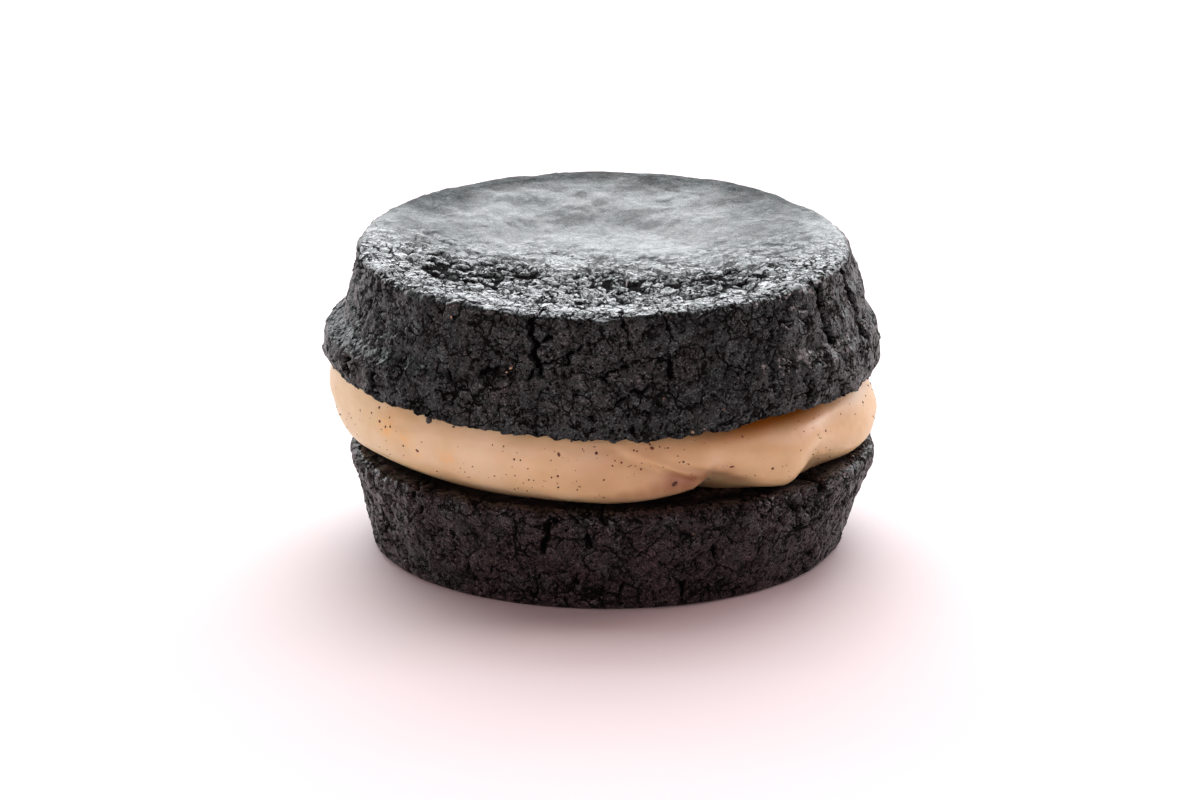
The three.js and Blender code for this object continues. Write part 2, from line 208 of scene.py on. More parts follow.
# Larger specks in the cream: bearing, height, width and the kind of spice (dark, brown, reddish)
SPECKS = [
    (-146, 20.0, 0.40, 2), (-134.3, 16.6, 0.50, 1), (-129.5, 15.7, 0.22, 0),
    (-125.6, 15.2, 0.25, 1), (-123.0, 14.4, 0.20, 0), (-122, 19.2, 0.30, 0),
    (-119.9, 16.1, 0.25, 0), (-118.7, 15.5, 0.28, 1), (-117, 15.0, 0.30, 1),
    (-114.3, 17.8, 0.20, 2), (-113.4, 16.4, 0.22, 0), (-111, 13.9, 0.20, 1),
    (-110.1, 15.7, 0.22, 0), (-109.0, 17.6, 0.30, 1), (-107.6, 17.6, 0.22, 0),
    (-106.4, 16.7, 0.25, 1), (-104.5, 14.6, 0.20, 0), (-101.7, 15.8, 0.25, 0),
    (-101, 14.6, 0.28, 0), (-100.8, 17.8, 0.22, 1), (-100.1, 16.8, 0.20, 0),
    (-100.0, 18.8, 0.30, 2), (-99.0, 18.5, 0.60, 2), (-97.0, 17.9, 0.20, 0),
    (-96.9, 14.4, 0.22, 0), (-96, 14.9, 0.24, 1), (-95.2, 18.0, 0.22, 0), (-93.6, 18.9, 0.24, 1),
    (-91.5, 19.3, 0.22, 0), (-91.5, 13.5, 0.28, 1), (-91.1, 15.1, 0.28, 0),
    (-90.9, 18.7, 0.38, 0), (-90.2, 15.9, 0.62, 1), (-88.5, 18.5, 0.22, 1),
    (-87.7, 17.4, 0.30, 2), (-87.0, 17.9, 0.22, 1), (-84.2, 14.7, 0.45, 0),
    (-83.8, 17.3, 0.25, 1), (-83.6, 16.4, 0.22, 0), (-82.9, 17.3, 0.22, 1),
    (-82.1, 18.9, 0.22, 0), (-81.4, 17.5, 0.20, 1), (-78.8, 19.1, 0.50, 2),
    (-77.1, 19.2, 0.28, 0), (-76.0, 19.0, 0.25, 0), (-75.5, 14.7, 0.85, 0),
    (-73.5, 17.5, 0.22, 1), (-73.5, 18.2, 0.20, 1), (-72.6, 17.6, 0.30, 0),
    (-71.9, 18.8, 0.22, 0), (-67.1, 19.2, 0.36, 0), (-63.0, 16.8, 0.25, 1),
    (-62.3, 19.0, 0.30, 0), (-62.3, 17.2, 0.28, 1), (-62.3, 16.2, 0.55, 2),
    (-59.8, 18.2, 0.28, 1), (-57.6, 19.2, 0.42, 2), (-56.3, 18.9, 0.28, 0),
    (-54.9, 18.8, 0.34, 2), (-52.1, 15.2, 0.40, 1), (-49.6, 15.2, 0.22, 2),
    (-47.8, 14.4, 0.25, 2), (-44.1, 16.5, 0.30, 2),
]
# Orange stains of the cream: bearing, height, half width and strength
STAINS = [(-143.5, 18.1, 1.3, 0.75), (-125.8, 16.6, 0.9, 0.75), (-134.5, 16.4, 0.7, 0.75),
          (-137, 17.6, 0.9, 0.75), (60, 16.5, 1.3, 0.75), (150, 17.5, 1.0, 0.75)]
# Painted shade on the cream below its fold and along its lower edge, in the same columns
SHADES = [(-91.5, 16.0, 4.0, 0.26), (-81, 16.2, 3.0, 0.28), (-91.5, 13.4, 1.2, 0.35),
          (-87, 13.6, 1.3, 0.45), (-83, 14.0, 1.5, 0.50), (-79.5, 14.4, 1.8, 0.60),
          (-75.3, 14.9, 2.1, 0.95), (-72, 14.9, 2.1, 1.0), (-68.5, 15.0, 1.7, 0.85),
          (-64.5, 15.1, 1.6, 0.70), (-60, 14.3, 1.4, 0.55)]
# A painted highlight on the cream's left shoulder and two small ones, in the same columns
PAINTED_HIGHLIGHT_PARTS = [(-118, 17.2, 4.0, 0.46), (-131, 17.8, 3.0, 0.34), (-108, 17.6, 2.0, 0.22),
              (-92, 18.6, 1.1, 0.25), (-66, 17.8, 1.3, 0.20)]
# Painted shade on the cream close under the lip: bearing and half width in degrees, and strength
LIP_SHADE_PARTS = [(-46, 17, 1.25), (100, 30, 0.6)]
# Loose crumbs: bearing, height, width and whether it is pale
CRUMBS = [
    (-129.0, 20.7, 0.95, False), (-122.5, 20.5, 0.40, False), (-115.0, 20.7, 0.35, False),
    (-157.0, 10.6, 0.80, False), (-96.0, 20.3, 0.40, False), (-45.0, 21.2, 0.50, False),
    (-70.3, 20.8, 0.42, True), (-67.7, 21.0, 0.26, True), (-125.1, 32.2, 0.42, True),
    (-109.7, 27.7, 0.50, True), (-110.6, 27.2, 0.28, True),
]

# Colours of the spices, of pale grains and of pale flecks in the crust
BROWN_SPICE = (0.21, 0.085, 0.034)
RED_SPICE = (0.26, 0.080, 0.046)
DOT_BROWN = (0.22, 0.075, 0.03)
PALE_GRAIN = (0.55, 0.37, 0.22)
PALE_FLECK = (0.10, 0.065, 0.045)

# How fine the patterns of the materials are, in cells or waves to the metre
GRAIN_SCALE = 5600.0
ISLAND_SCALE = 560.0
FLECK_SCALE = 620.0
PIT_SCALE = 1250.0
HOLE_SCALE = 2700.0
BEND_SCALE = 1500.0
# Nets of hairline cracks: scale, width as a share of a cell, scale and level of their mask
WIDE_NETS = [(560, 0.060, 430, 0.47), (310, 0.045, 260, 0.48)]
FINE_NET = (1300, 0.11, 600, 0.52)
# Dots in the cream: scale, share of the cells without one, and size as a share of a cell
DOTS = [(520.0, 0.87, 0.085), (900.0, 0.90, 0.11)]

# Painted shade in a drawn crack: how dark it is for each mm of its depth
CRACK_DARK = 1.6

# Camera, in mm: width of its film, length of its lens and the point that it looks at
FILM_WIDTH = 36.0
LENS_LENGTH = 188.4
CAMERA_AIM = (-0.35, 0, 15.86)
# The point that the lights face, in mm
LIGHT_AIM = (0, 0, 18)


def scatter(i, j, k, seed):
    """A repeatable number from 0 to 1 for each whole-number place."""
    i, j, k = (a.astype(np.int64).astype(np.uint32) for a in (i, j, k))
    h = i * np.uint32(0x27D4EB2D) + j * np.uint32(0x165667B1) + k * np.uint32(0x1E3779B1)
    h = h + np.array(seed * 0x05EBCA6B & 0xFFFFFFFF, np.uint32)
    h = (h ^ (h >> np.uint32(15))) * np.uint32(0x2C1B3C6D)
    h = (h ^ (h >> np.uint32(12))) * np.uint32(0x297A2D39)
    return (h ^ (h >> np.uint32(15))) / 4294967296.0


def soft_noise(p, seed):
    """Smooth noise from -1 to 1 at places p, with one hill or hollow about every unit."""
    low = np.floor(p)
    i, j, k = low.T
    t = p - low
    u, v, w = (t * t * (3 - 2 * t)).T

    def row(b, c):
        near, far = scatter(i, j + b, k + c, seed), scatter(i + 1, j + b, k + c, seed)
        return near + (far - near) * u

    def sheet(c):
        return row(0, c) + (row(1, c) - row(0, c)) * v

    return 2 * (sheet(0) + (sheet(1) - sheet(0)) * w) - 1


def crags(p, seed):
    """The frame's own crags, from -1 to 1."""
    broad = soft_noise(p / (3.9, 3.9, 3.4), seed)
    small = soft_noise(p / (1.9, 1.9, 1.8), seed + 1)
    return 0.62 * broad + 0.38 * small


def warped(p, reach, size, seed):
    """Places moved about by noise, so that what is drawn at them has ragged edges."""
    shift = [soft_noise(p / size, seed + axis) for axis in range(3)]
    return p + reach * np.stack(shift, axis=1)


def cells(p, seed):
    """Distances to the nearest and second nearest seed point, the nearest one's number from 0 to
    1, and the way from it."""
    low = np.floor(p)
    near = np.full(len(p), 9.0)
    second = near.copy()
    which = np.zeros(len(p))
    way = np.zeros_like(p)
    for step in np.ndindex(3, 3, 3):
        corner = low + np.array(step) - 1
        i, j, k = corner.T
        spot = np.stack([scatter(i, j, k, seed + n) for n in range(3)], axis=1)
        apart = p - corner - spot
        away = np.sqrt((apart**2).sum(axis=1))
        nearer = away < near
        second = np.where(nearer, near, np.minimum(second, away))
        near = np.where(nearer, away, near)
        which[nearer] = scatter(i[nearer], j[nearer], k[nearer], seed + 3)
        way[nearer] = apart[nearer]
    return near, second, which, way


def plates(p, size, seed, gap, lean, step):
    """Broken plates: their height in mm, and how far each place lies in the gap round them."""
    near, second, which, way = cells(p / size, seed)
    tilt = np.stack([np.sin(which * turns) for turns in (41.0, 73.0, 97.0)], axis=1)
    height = step * (2 * which - 1) + lean * size * (way * tilt).sum(axis=1)
    return height, 1 - smoothstep((second - near) * size, 0.3 * gap, 1.5 * gap)


def smoothstep(x, low, high):
    """A soft step from 0 at low to 1 at high."""
    t = np.clip((x - low) / (high - low), 0, 1)
    return t * t * (3 - 2 * t)


def outline(lumps, bearing):
    """Sum of the lumps of an outline at each bearing."""
    total = np.zeros_like(bearing)
    for centre, spread, height in lumps:
        turn = (bearing - centre + 180) % 360 - 180
        total += height * np.exp(-((turn / spread) ** 2))
    return total


def polar(p):
    """Radius and bearing, in degrees from +X, of each place."""
    return np.hypot(p[:, 0], p[:, 1]), np.degrees(np.arctan2(p[:, 1], p[:, 0]))


def placed(radius, bearing, z, shift=0.0):
    """Places at a radius, bearing and height, shifted along X."""
    turn = np.radians(bearing)
    return np.stack([radius * np.cos(turn) + shift, radius * np.sin(turn), z], axis=1)


def spline_weights(shares, count):
    """Weights of count control points on the smooth curve through them, at each share of it."""
    at = np.clip(shares, 0, 1) * (count - 1)
    first = np.clip(np.floor(at), 0, count - 2).astype(int)
    t = at - first
    blend = [
        (-t**3 + 2 * t**2 - t) / 2,
        (3 * t**3 - 5 * t**2 + 2) / 2,
        (-3 * t**3 + 4 * t**2 + t) / 2,
        (t**3 - t**2) / 2,
    ]
    weights = np.zeros((len(shares), count))
    for offset, share in zip((-1, 0, 1, 2), blend):
        np.add.at(weights, (np.arange(len(shares)), np.clip(first + offset, 0, count - 1)), share)
    return weights


def straight(start, end, spacing):
    """Points from start up to, but without, end."""
    steps = max(1, round(math.dist(start, end) / spacing))
    return [tuple(np.array(start) + (np.array(end) - start) * n / steps) for n in range(steps)]


def bend(start, corner, end, spacing):
    """Points of a rounded corner from start up to, but without, end."""
    start, corner, end = (np.array(p, float) for p in (start, corner, end))
    steps = max(2, round((math.dist(start, corner) + math.dist(corner, end)) / spacing))
    shares = [n / steps for n in range(steps)]
    return [tuple((1 - t) ** 2 * start + 2 * t * (1 - t) * corner + t * t * end) for t in shares]


def lathe_shell(profile, steps):
    """A closed shell: a profile of (radius, height), from axis to axis, spun about +Z."""
    bm = bmesh.new()
    line = [bm.verts.new((radius, 0, z)) for radius, z in profile]
    edges = [bm.edges.new(pair) for pair in zip(line, line[1:])]
    bmesh.ops.spin(
        bm,
        geom=line + edges,
        cent=(0, 0, 0),
        axis=(0, 0, 1),
        angle=math.tau,
        steps=steps,
        use_merge=True,
    )
    bmesh.ops.remove_doubles(bm, verts=bm.verts, dist=1e-5)
    bmesh.ops.recalc_face_normals(bm, faces=bm.faces)
    return bm


def round_sheet(across, radius):
    """A round sheet of nearly square faces: a grid whose square rings are made circles."""
    bm = bmesh.new()
    bmesh.ops.create_grid(bm, x_segments=across, y_segments=across, size=1)
    for vert in bm.verts:
        x, y = vert.co.x, vert.co.y
        ring = max(abs(x), abs(y))
        if ring == 0:
            continue
        turn = math.atan2(y, x)
        quarter = round(turn / (math.pi / 2)) * math.pi / 2
        side = math.tan(turn - quarter)
        turn = quarter + side * math.pi / 4
        vert.co = (radius * ring * math.cos(turn), radius * ring * math.sin(turn), 0)
    return bm


def crowd_front(verts, reach, share):
    """Moves points round the axis so that they stand closer together at the front."""
    for vert in verts:
        turn = math.atan2(vert.co.y, vert.co.x)
        radius = math.hypot(vert.co.x, vert.co.y)
        turn -= share * math.cos(turn) * min(1, radius / reach)
        vert.co.x = radius * math.cos(turn)
        vert.co.y = radius * math.sin(turn)


def draw_out(bm, rings):
    """Extrudes a sheet's open edge through rings of (radius, height), and closes the last."""
    edge = [e for e in bm.edges if e.is_boundary]
    verts = []
    for radius, z in rings:
        made = bmesh.ops.extrude_edge_only(bm, edges=edge)["geom"]
        verts = [g for g in made if isinstance(g, bmesh.types.BMVert)]
        fresh = set(verts)
        lines = [g for g in made if isinstance(g, bmesh.types.BMEdge)]
        edge = [e for e in lines if e.verts[0] in fresh and e.verts[1] in fresh]
        for vert in verts:
            turn = math.atan2(vert.co.y, vert.co.x)
            vert.co = (radius * math.cos(turn), radius * math.sin(turn), z)
    bmesh.ops.pointmerge(bm, verts=verts, merge_co=(0, 0, rings[-1][1]))
    bmesh.ops.recalc_face_normals(bm, faces=bm.faces)


def mesh_points(mesh):
    flat = np.empty(len(mesh.vertices) * 3)
    mesh.vertices.foreach_get("co", flat)
    return flat.reshape(-1, 3)


def set_points(mesh, p):
    mesh.vertices.foreach_set("co", p.ravel())
    mesh.update()


def mesh_normals(mesh):
    flat = np.empty(len(mesh.vertices) * 3)
    mesh.vertices.foreach_get("normal", flat)
    return flat.reshape(-1, 3)


def paint(mesh, name, values):
    """Keeps one number for each point of the mesh, for the material to read."""
    layer = mesh.attributes.new(name, "FLOAT", "POINT")
    layer.data.foreach_set("value", np.asarray(values, np.float32))


def new_piece(name, bm, materials, replaces=()):
    """Makes a piece of the object from a finished bmesh, riding on the one body."""
    mesh = bpy.data.meshes.new(name)
    bm.to_mesh(mesh)
    bm.free()
    mesh.polygons.foreach_set("use_smooth", [True] * len(mesh.polygons))
    for material in materials:
        mesh.materials.append(material)
    piece = bpy.data.objects.new(name, mesh)
    bpy.context.scene.collection.objects.link(piece)
    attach(piece, "root")
    if replaces:
        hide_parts(*replaces)
    return piece


def crack_field(bearing, height, cracks, wall_radius):
    """How deep the drawn cracks cut at each place, in mm, with ragged edges."""
    here = np.stack([np.radians(bearing) * wall_radius, height, 0 * height], axis=1)
    here = warped(warped(here, 0.42, 1.0, 70), 0.16, 0.36, 76)
    fray = 1 + 0.7 * soft_noise(here / 0.6, 75)
    cut = np.zeros(len(here))
    for width, depth, path in cracks:
        at, level = np.array(path, float).T
        shown = np.stack([np.radians(at) * wall_radius, level, 0 * level], axis=1)
        for start, end in zip(shown, shown[1:]):
            along = end - start
            share = np.clip((here - start) @ along / (along @ along), 0, 1)
            away = np.linalg.norm((here - start - share[:, None] * along)[:, :2], axis=1)
            open_here = 1 - smoothstep(away, 0.35 * width * fray, 1.5 * width * fray)
            cut = np.maximum(cut, depth * open_here)
    return cut


def wall_relief(p, looks, seed):
    """Fine relief of a crust wall, in mm, and how far each place lies in a crevice, 0 to 1."""
    bent = warped(p, 0.34, 0.9, seed)
    plate, gap = plates(bent, looks.plate_size / MM, seed + 10, 0.12, 0.05, 0.05)
    gap *= smoothstep(soft_noise(p / 2.2, seed + 14), 0.02, 0.35)
    crumb, chink = plates(bent, looks.crumb_size / MM, seed + 20, 0.09, 0.045, 0.03)
    chink *= smoothstep(soft_noise(p / 1.5, seed + 24), 0.18, 0.45)
    near, _, which, _ = cells(warped(p, 0.20, 0.35, seed + 28) / 0.95, seed + 30)
    pit = (which > 0.60) * (1 - smoothstep(near, 0.02 + 0.15 * which, 0.10 + 0.19 * which))
    lump = looks.lump_height / MM * soft_noise(p / 2.3, seed + 50)
    lump += 0.4 * looks.lump_height / MM * soft_noise(p / 1.0, seed + 52)
    grain = 0.035 * soft_noise(p / 0.40, seed + 54)
    depth = looks.crack_depth / MM
    cut = np.maximum(np.maximum(gap, 0.8 * chink), pit)
    return plate + crumb + lump + grain - depth * cut, cut


def calm_share(p):
    """How even the dished top is: 0 in its crumbly front part and 1 at its back."""
    return smoothstep(p[:, 1] + 0.10 * p[:, 0] + 2.5 * soft_noise(p / 4.0, 61), -7.5, 8.5)


def dull_share(p):
    """How much of the greasy film the dished top lacks: most on its far rim, least in front."""
    radius, _ = polar(p)
    far_rim = smoothstep(p[:, 1], 3, 18) * smoothstep(radius + soft_noise(p / 2.5, 63), 20.5, 25.8)
    flank = smoothstep(-p[:, 0], 11, 19) + 1.3 * smoothstep(p[:, 0], 9, 18)
    flank *= 1 - smoothstep(radius, 22.5, 24.5)
    return np.clip(calm_share(p) * (0.18 + 0.30 * flank) + 0.9 * far_rim, 0, 1)


def top_relief(p, looks, seed):
    """Fine relief of the dished top, in mm, and how far each place lies in a crevice."""
    radius, _ = polar(p)
    calm = calm_share(p)
    rough = (1 - smoothstep(radius, 20.8, 22.6)) * (1 - calm)
    share = 0.16 + 0.20 * (1 - calm) + 0.58 * rough
    bent = warped(p, 0.45, 1.1, seed)
    scale, groove = plates(bent, 1.60, seed + 10, 0.34, 0.12, looks.scale_height / MM)
    groove *= smoothstep(soft_noise(p / 2.0, seed + 14), -0.45, 0.0) * share * (1 - 0.9 * calm)
    crumb, chink = plates(bent, 0.72, seed + 24, 0.17, 0.09, 0.06)
    chink *= smoothstep(soft_noise(p / 1.2, seed + 28), 0.0, 0.4) * (0.4 + 0.5 * rough) * (1 - calm)
    swell = (0.20 - 0.09 * calm) * soft_noise(p / 2.6, seed + 30)
    dimple = 0.018 * calm * soft_noise(p / 1.1, seed + 34)
    cut = np.maximum(groove, 0.6 * chink)
    return share * (scale + swell + crumb) + dimple - 1.05 * looks.crack_depth / MM * cut, cut


def dish_height(radius):
    """Height of the dished top, from its middle out to the rim's crest."""
    inner = [
        (RIM_INNER_RADIUS, CREST_Z - 0.35),
        (RIM_INNER_RADIUS * 0.65 + DISH_FLOOR_RADIUS * 0.35, CREST_Z - 0.42 * DISH_DEPTH),
        (RIM_INNER_RADIUS * 0.3 + DISH_FLOOR_RADIUS * 0.7, CREST_Z - 0.8 * DISH_DEPTH),
        (DISH_FLOOR_RADIUS, CREST_Z - 0.92 * DISH_DEPTH),
        (0, CREST_Z - DISH_DEPTH),
    ]
    curve = spline_weights(np.linspace(0, 1, 120), len(inner)) @ np.array(inner)
    curve = np.vstack([[(CREST_RADIUS, CREST_Z)], curve])[::-1]
    return np.interp(radius, curve[:, 0], curve[:, 1])


def upper_form(p):
    """The frame's upper cookie at every place of a plain dished drum, and its wall share."""
    radius, bearing = polar(p)
    z = p[:, 2]
    on_wall = smoothstep(radius, *RIM_BLEND) * (1 - smoothstep(z, WALL_TOP_Z, CREST_Z))
    lip_top = LIP_TOP_Z - outline(LIP_TOP_DIP, bearing)
    lip = (1 - smoothstep(z, lip_top - 1.8, lip_top + 0.9)) * on_wall
    tuck = LIP_TUCK + (1 - LIP_TUCK) * smoothstep(z, UNDER_Z, UNDER_Z + 2)
    swell = (LIP_STEP + outline(LIP_SWELL, bearing)) * lip * tuck
    high = smoothstep(z, lip_top, WALL_TOP_Z)
    crown = outline(CROWN_SWELL, bearing) * high * smoothstep(radius, 20, 25)
    waist = smoothstep(z, lip_top - 2.0, lip_top + 1.0)
    waist *= 1 - smoothstep(z, lip_top + 1.6, CREST_Z)
    crown += outline(WAIST_SWELL, bearing) * waist * on_wall
    lean = CROWN_LEAN * p[:, 1] / WALL_HIGH_RADIUS * smoothstep(z, UNDER_Z + 1, WALL_TOP_Z)
    out = (radius - UNDER_FLAT_RADIUS) / (WALL_LOW_RADIUS - UNDER_FLAT_RADIUS)
    droop = outline(LIP_DROOP, bearing) * np.clip(out, 0, 1)
    droop *= 1 - smoothstep(z, UNDER_Z, LIP_TOP_Z)
    low = on_wall * (1 - smoothstep(z, UNDER_Z, UNDER_Z + 2.5))
    edge_noise = soft_noise(p * (1 / 2.6, 1 / 2.6, 0), 11)
    brink = smoothstep(radius, 25.6, 26.8) * smoothstep(z, WALL_TOP_Z - 1.6, WALL_TOP_Z)
    crown += brink * (0.16 * soft_noise(p / 1.2, 17) + 0.08 * soft_noise(p / 0.5, 18))
    crag = np.where(radius < RIM_INNER_RADIUS, DISH_CRAG, RIM_CRAG)
    crag = crag + (WALL_CRAG - crag) * on_wall
    crag = crag * np.where((z < UNDER_Z + 0.01) & (radius < WALL_LOW_RADIUS - 0.1), 0, 1)
    bumps = crag * crags(p, 2)
    radius = radius + swell + crown + on_wall * bumps
    fringe = 0.16 * soft_noise(p / 0.95, 15) + 0.10 * soft_noise(p / 0.45, 16)
    ragged = RAGGED * low * (1 + edge_noise) + low * fringe
    z = z + lean - droop + ragged + (1 - on_wall) * bumps
    return placed(radius, bearing, z, UPPER_SHIFT), on_wall


def lower_form(p):
    """The frame's lower cookie at every place of a plain tapered drum."""
    radius, bearing = polar(p)
    z = p[:, 2]
    share = np.clip(z / BED_Z, 0, 1)
    out = smoothstep(radius, 24, 27)
    turn = np.radians(bearing)
    sway = np.stack([2 * np.cos(turn), 2 * np.sin(turn), 0 * turn], axis=1)
    wall = out * smoothstep(z, 0, FOOT_ROUND)
    radius = radius + wall * WALL_CRAG * crags(p, 5)
    z = z + 0.15 * soft_noise(sway, 8) * share * wall
    return placed(radius, bearing, z, FOOT_SHIFT + (BED_SHIFT - FOOT_SHIFT) * share)


def lower_wall_radius(z):
    return FOOT_RADIUS + (BED_RADIUS - FOOT_RADIUS) * np.clip(z / BED_Z, 0, 1)


def upper_wall_radius(z):
    share = np.clip((z - UNDER_Z) / (WALL_TOP_Z - UNDER_Z), 0, 1)
    return WALL_LOW_RADIUS + (WALL_HIGH_RADIUS - WALL_LOW_RADIUS) * share


def cream_form(share, bearing):
    """Places on the cream's side: share runs from 0 at its foot to 1 at its head."""
    count = len(CREAM_SHARES)
    weights = spline_weights(np.interp(share, CREAM_SHARES, np.linspace(0, 1, count)), count)
    foot, chin, belly, shoulder, head = (
        radius + outline(lumps, bearing) for radius, lumps in CREAM_LEVELS
    )
    reach = [foot, chin - 1.7, chin, belly, shoulder, head]
    radius = (weights * np.stack(reach, axis=1)).sum(axis=1)
    edge = np.interp(bearing, *np.array(CREAM_EDGE, float).T)
    width = WALL_LOW_RADIUS + LIP_TUCK * (LIP_STEP + outline(LIP_SWELL, bearing))
    out = (head - UNDER_FLAT_RADIUS) / (width - UNDER_FLAT_RADIUS)
    ceiling = UNDER_Z - outline(LIP_DROOP, bearing) * np.clip(out, 0, 1) + 0.25
    side = edge + 1.35
    heights = [
        np.full_like(edge, BED_Z - CREAM_SINK),
        edge - 0.05,
        side,
        side + 0.40 * (ceiling - side),
        side + 0.72 * (ceiling - side),
        ceiling,
    ]
    z = (weights * np.stack(heights, axis=1)).sum(axis=1)
    for line, fade in ((FOLD_LEFT, 3.2), (FOLD_RIGHT, 4.0)):
        at, height, step = np.array(line, float).T
        ridge = np.interp(bearing, at, height)
        step = np.interp(bearing, at, step, left=0, right=0)
        above = z - ridge
        proud = smoothstep(above, -0.45, 0.75)
        radius += 0.45 * step * proud * np.exp(-np.maximum(above, 0) / fade)
        radius -= 0.50 * step * (1 - proud) * np.exp(-np.maximum(-above - 0.6, 0) / 1.6)
    shift = BED_SHIFT + (UPPER_SHIFT - BED_SHIFT) * smoothstep(share, 0, 0.8)
    return placed(radius, bearing, z, shift)


def cream_spot(bearing, z):
    """The place on the cream at one bearing and height, and the way out from it."""
    shares = np.linspace(0.08, 1, 90)
    line = cream_form(shares, np.full_like(shares, bearing))
    n = int(np.argmin(np.abs(line[:, 2] - z)))
    before, after = line[max(n - 1, 0)], line[min(n + 1, len(line) - 1)]
    turn = math.radians(bearing)
    round_it = Vector((-math.sin(turn), math.cos(turn), 0))
    out = round_it.cross(Vector(after - before)).normalized()
    return Vector(line[n]), out


def blots(p, spots):
    """How strongly soft round spots on the cream colour each place."""
    total = np.zeros(len(p))
    for bearing, z, size, strength in spots:
        spot, _ = cream_spot(bearing, z)
        away = np.linalg.norm(p - np.array(spot), axis=1)
        total = np.maximum(total, strength * np.exp(-((away / size) ** 2)))
    return total


def node(tree, kind, inputs=None, **settings):
    """Adds one shader node, with its settings and the values of its sockets."""
    made = tree.nodes.new(kind)
    for name, value in settings.items():
        setattr(made, name, value)
    for name, value in (inputs or {}).items():
        socket = made.inputs[name]
        if isinstance(value, bpy.types.NodeSocket):
            tree.links.new(value, socket)
        else:
            socket.default_value = value
    return made


def mixed(tree, share, first, second, blend="MIX"):
    """A colour mix; its sockets are told by place because their names repeat."""
    made = tree.nodes.new("ShaderNodeMix")
    made.data_type = "RGBA"
    made.blend_type = blend
    for place, value in ((0, share), (6, first), (7, second)):
        if isinstance(value, bpy.types.NodeSocket):
            tree.links.new(value, made.inputs[place])
        else:
            made.inputs[place].default_value = (*value, 1) if place else value
    return made.outputs[2]


def blended(tree, share, first, second):
    """A number that goes from the first to the second one as the share goes from 0 to 1."""
    return node(tree, "ShaderNodeMix", {0: share, 2: first, 3: second},
                data_type="FLOAT").outputs[0]


def ranged(tree, value, low, high, to_low=0.0, to_high=1.0):
    """A number between low and high, brought to between to_low and to_high."""
    inputs = {"Value": value, "From Min": low, "From Max": high,
              "To Min": to_low, "To Max": to_high}
    return node(tree, "ShaderNodeMapRange", inputs).outputs[0]


def maths(tree, operation, *values):
    """The result of one math node."""
    return node(tree, "ShaderNodeMath", dict(enumerate(values)), operation=operation).outputs[0]


def product(tree, first, second):
    return maths(tree, "MULTIPLY", first, second)


def largest(tree, first, second):
    return maths(tree, "MAXIMUM", first, second)


def voronoi(tree, place, scale, **settings):
    """How far each place is from the middle of its cell, and the cell's random numbers."""
    made = node(tree, "ShaderNodeTexVoronoi", {"Vector": place, "Scale": scale}, **settings)
    chances = node(tree, "ShaderNodeSeparateColor", {"Color": made.outputs["Color"]}).outputs
    return made.outputs["Distance"], chances


def noise(tree, place, scale, detail=2.0, rough=0.5):
    inputs = {"Vector": place, "Scale": scale, "Detail": detail, "Roughness": rough}
    return node(tree, "ShaderNodeTexNoise", inputs).outputs[0]


def painted(tree, name):
    """A number that was painted on the mesh."""
    return node(tree, "ShaderNodeAttribute", attribute_name=name).outputs["Fac"]


def new_material(name):
    """A new material, its nodes, its shader and the places on the object."""
    material = bpy.data.materials.new(name)
    material.use_nodes = True
    tree = material.node_tree
    place = node(tree, "ShaderNodeTexCoord").outputs["Object"]
    return material, tree, tree.nodes["Principled BSDF"], place


def add_bump(tree, shader, height, distance, strength):
    """Lets a shader show a height, from 0 to 1, as relief that is distance deep."""
    inputs = {"Strength": strength, "Distance": distance, "Height": height}
    tree.links.new(node(tree, "ShaderNodeBump", inputs).outputs[0], shader.inputs["Normal"])


def bent_place(tree, place, scale, reach):
    """Places moved about by noise, so that what is drawn at them has ragged edges."""
    colour = node(tree, "ShaderNodeTexNoise", {"Vector": place, "Scale": scale}).outputs["Color"]
    centred = node(tree, "ShaderNodeVectorMath", {0: colour, 1: (0.5, 0.5, 0.5)},
                   operation="SUBTRACT").outputs[0]
    return node(tree, "ShaderNodeVectorMath", {0: centred, 1: (reach,) * 3, 2: place},
                operation="MULTIPLY_ADD").outputs[0]


def crack_net(tree, place, scale, width, mask_scale, least):
    """A net of hairline cracks, open here and there: 1 in a crack and 0 beside it."""
    edge = node(tree, "ShaderNodeTexVoronoi", {"Vector": place, "Scale": scale},
                feature="DISTANCE_TO_EDGE").outputs["Distance"]
    line = ranged(tree, edge, 0.55 * width, width, 1.0, 0.0)
    mask = maths(tree, "MULTIPLY_ADD", painted(tree, "tin_side"), 0.06,
                 noise(tree, place, mask_scale))
    return product(tree, line, ranged(tree, mask, least, least + 0.08))


def crust_cracks(tree, bent):
    """Hairline cracks, pits and pinholes: 1 in them and 0 beside them."""
    first, second = (crack_net(tree, bent, *net) for net in WIDE_NETS)
    fine = crack_net(tree, bent, *FINE_NET)
    away, chances = voronoi(tree, bent, PIT_SCALE, distance="MANHATTAN")
    pits = product(tree, ranged(tree, chances[0], 0.50, 0.52),
                   ranged(tree, away, 0.30, 0.34, 1.0, 0.0))
    away, chances = voronoi(tree, bent, HOLE_SCALE)
    holes = product(tree, ranged(tree, chances[1], 0.66, 0.68),
                    ranged(tree, away, 0.30, 0.42, 1.0, 0.0))
    crack = largest(tree, largest(tree, first, second), product(tree, fine, 0.85))
    crack = largest(tree, crack, largest(tree, pits, holes))
    return product(tree, crack, ranged(tree, painted(tree, "calm"), 0.0, 1.0, 1.0, 0.2))


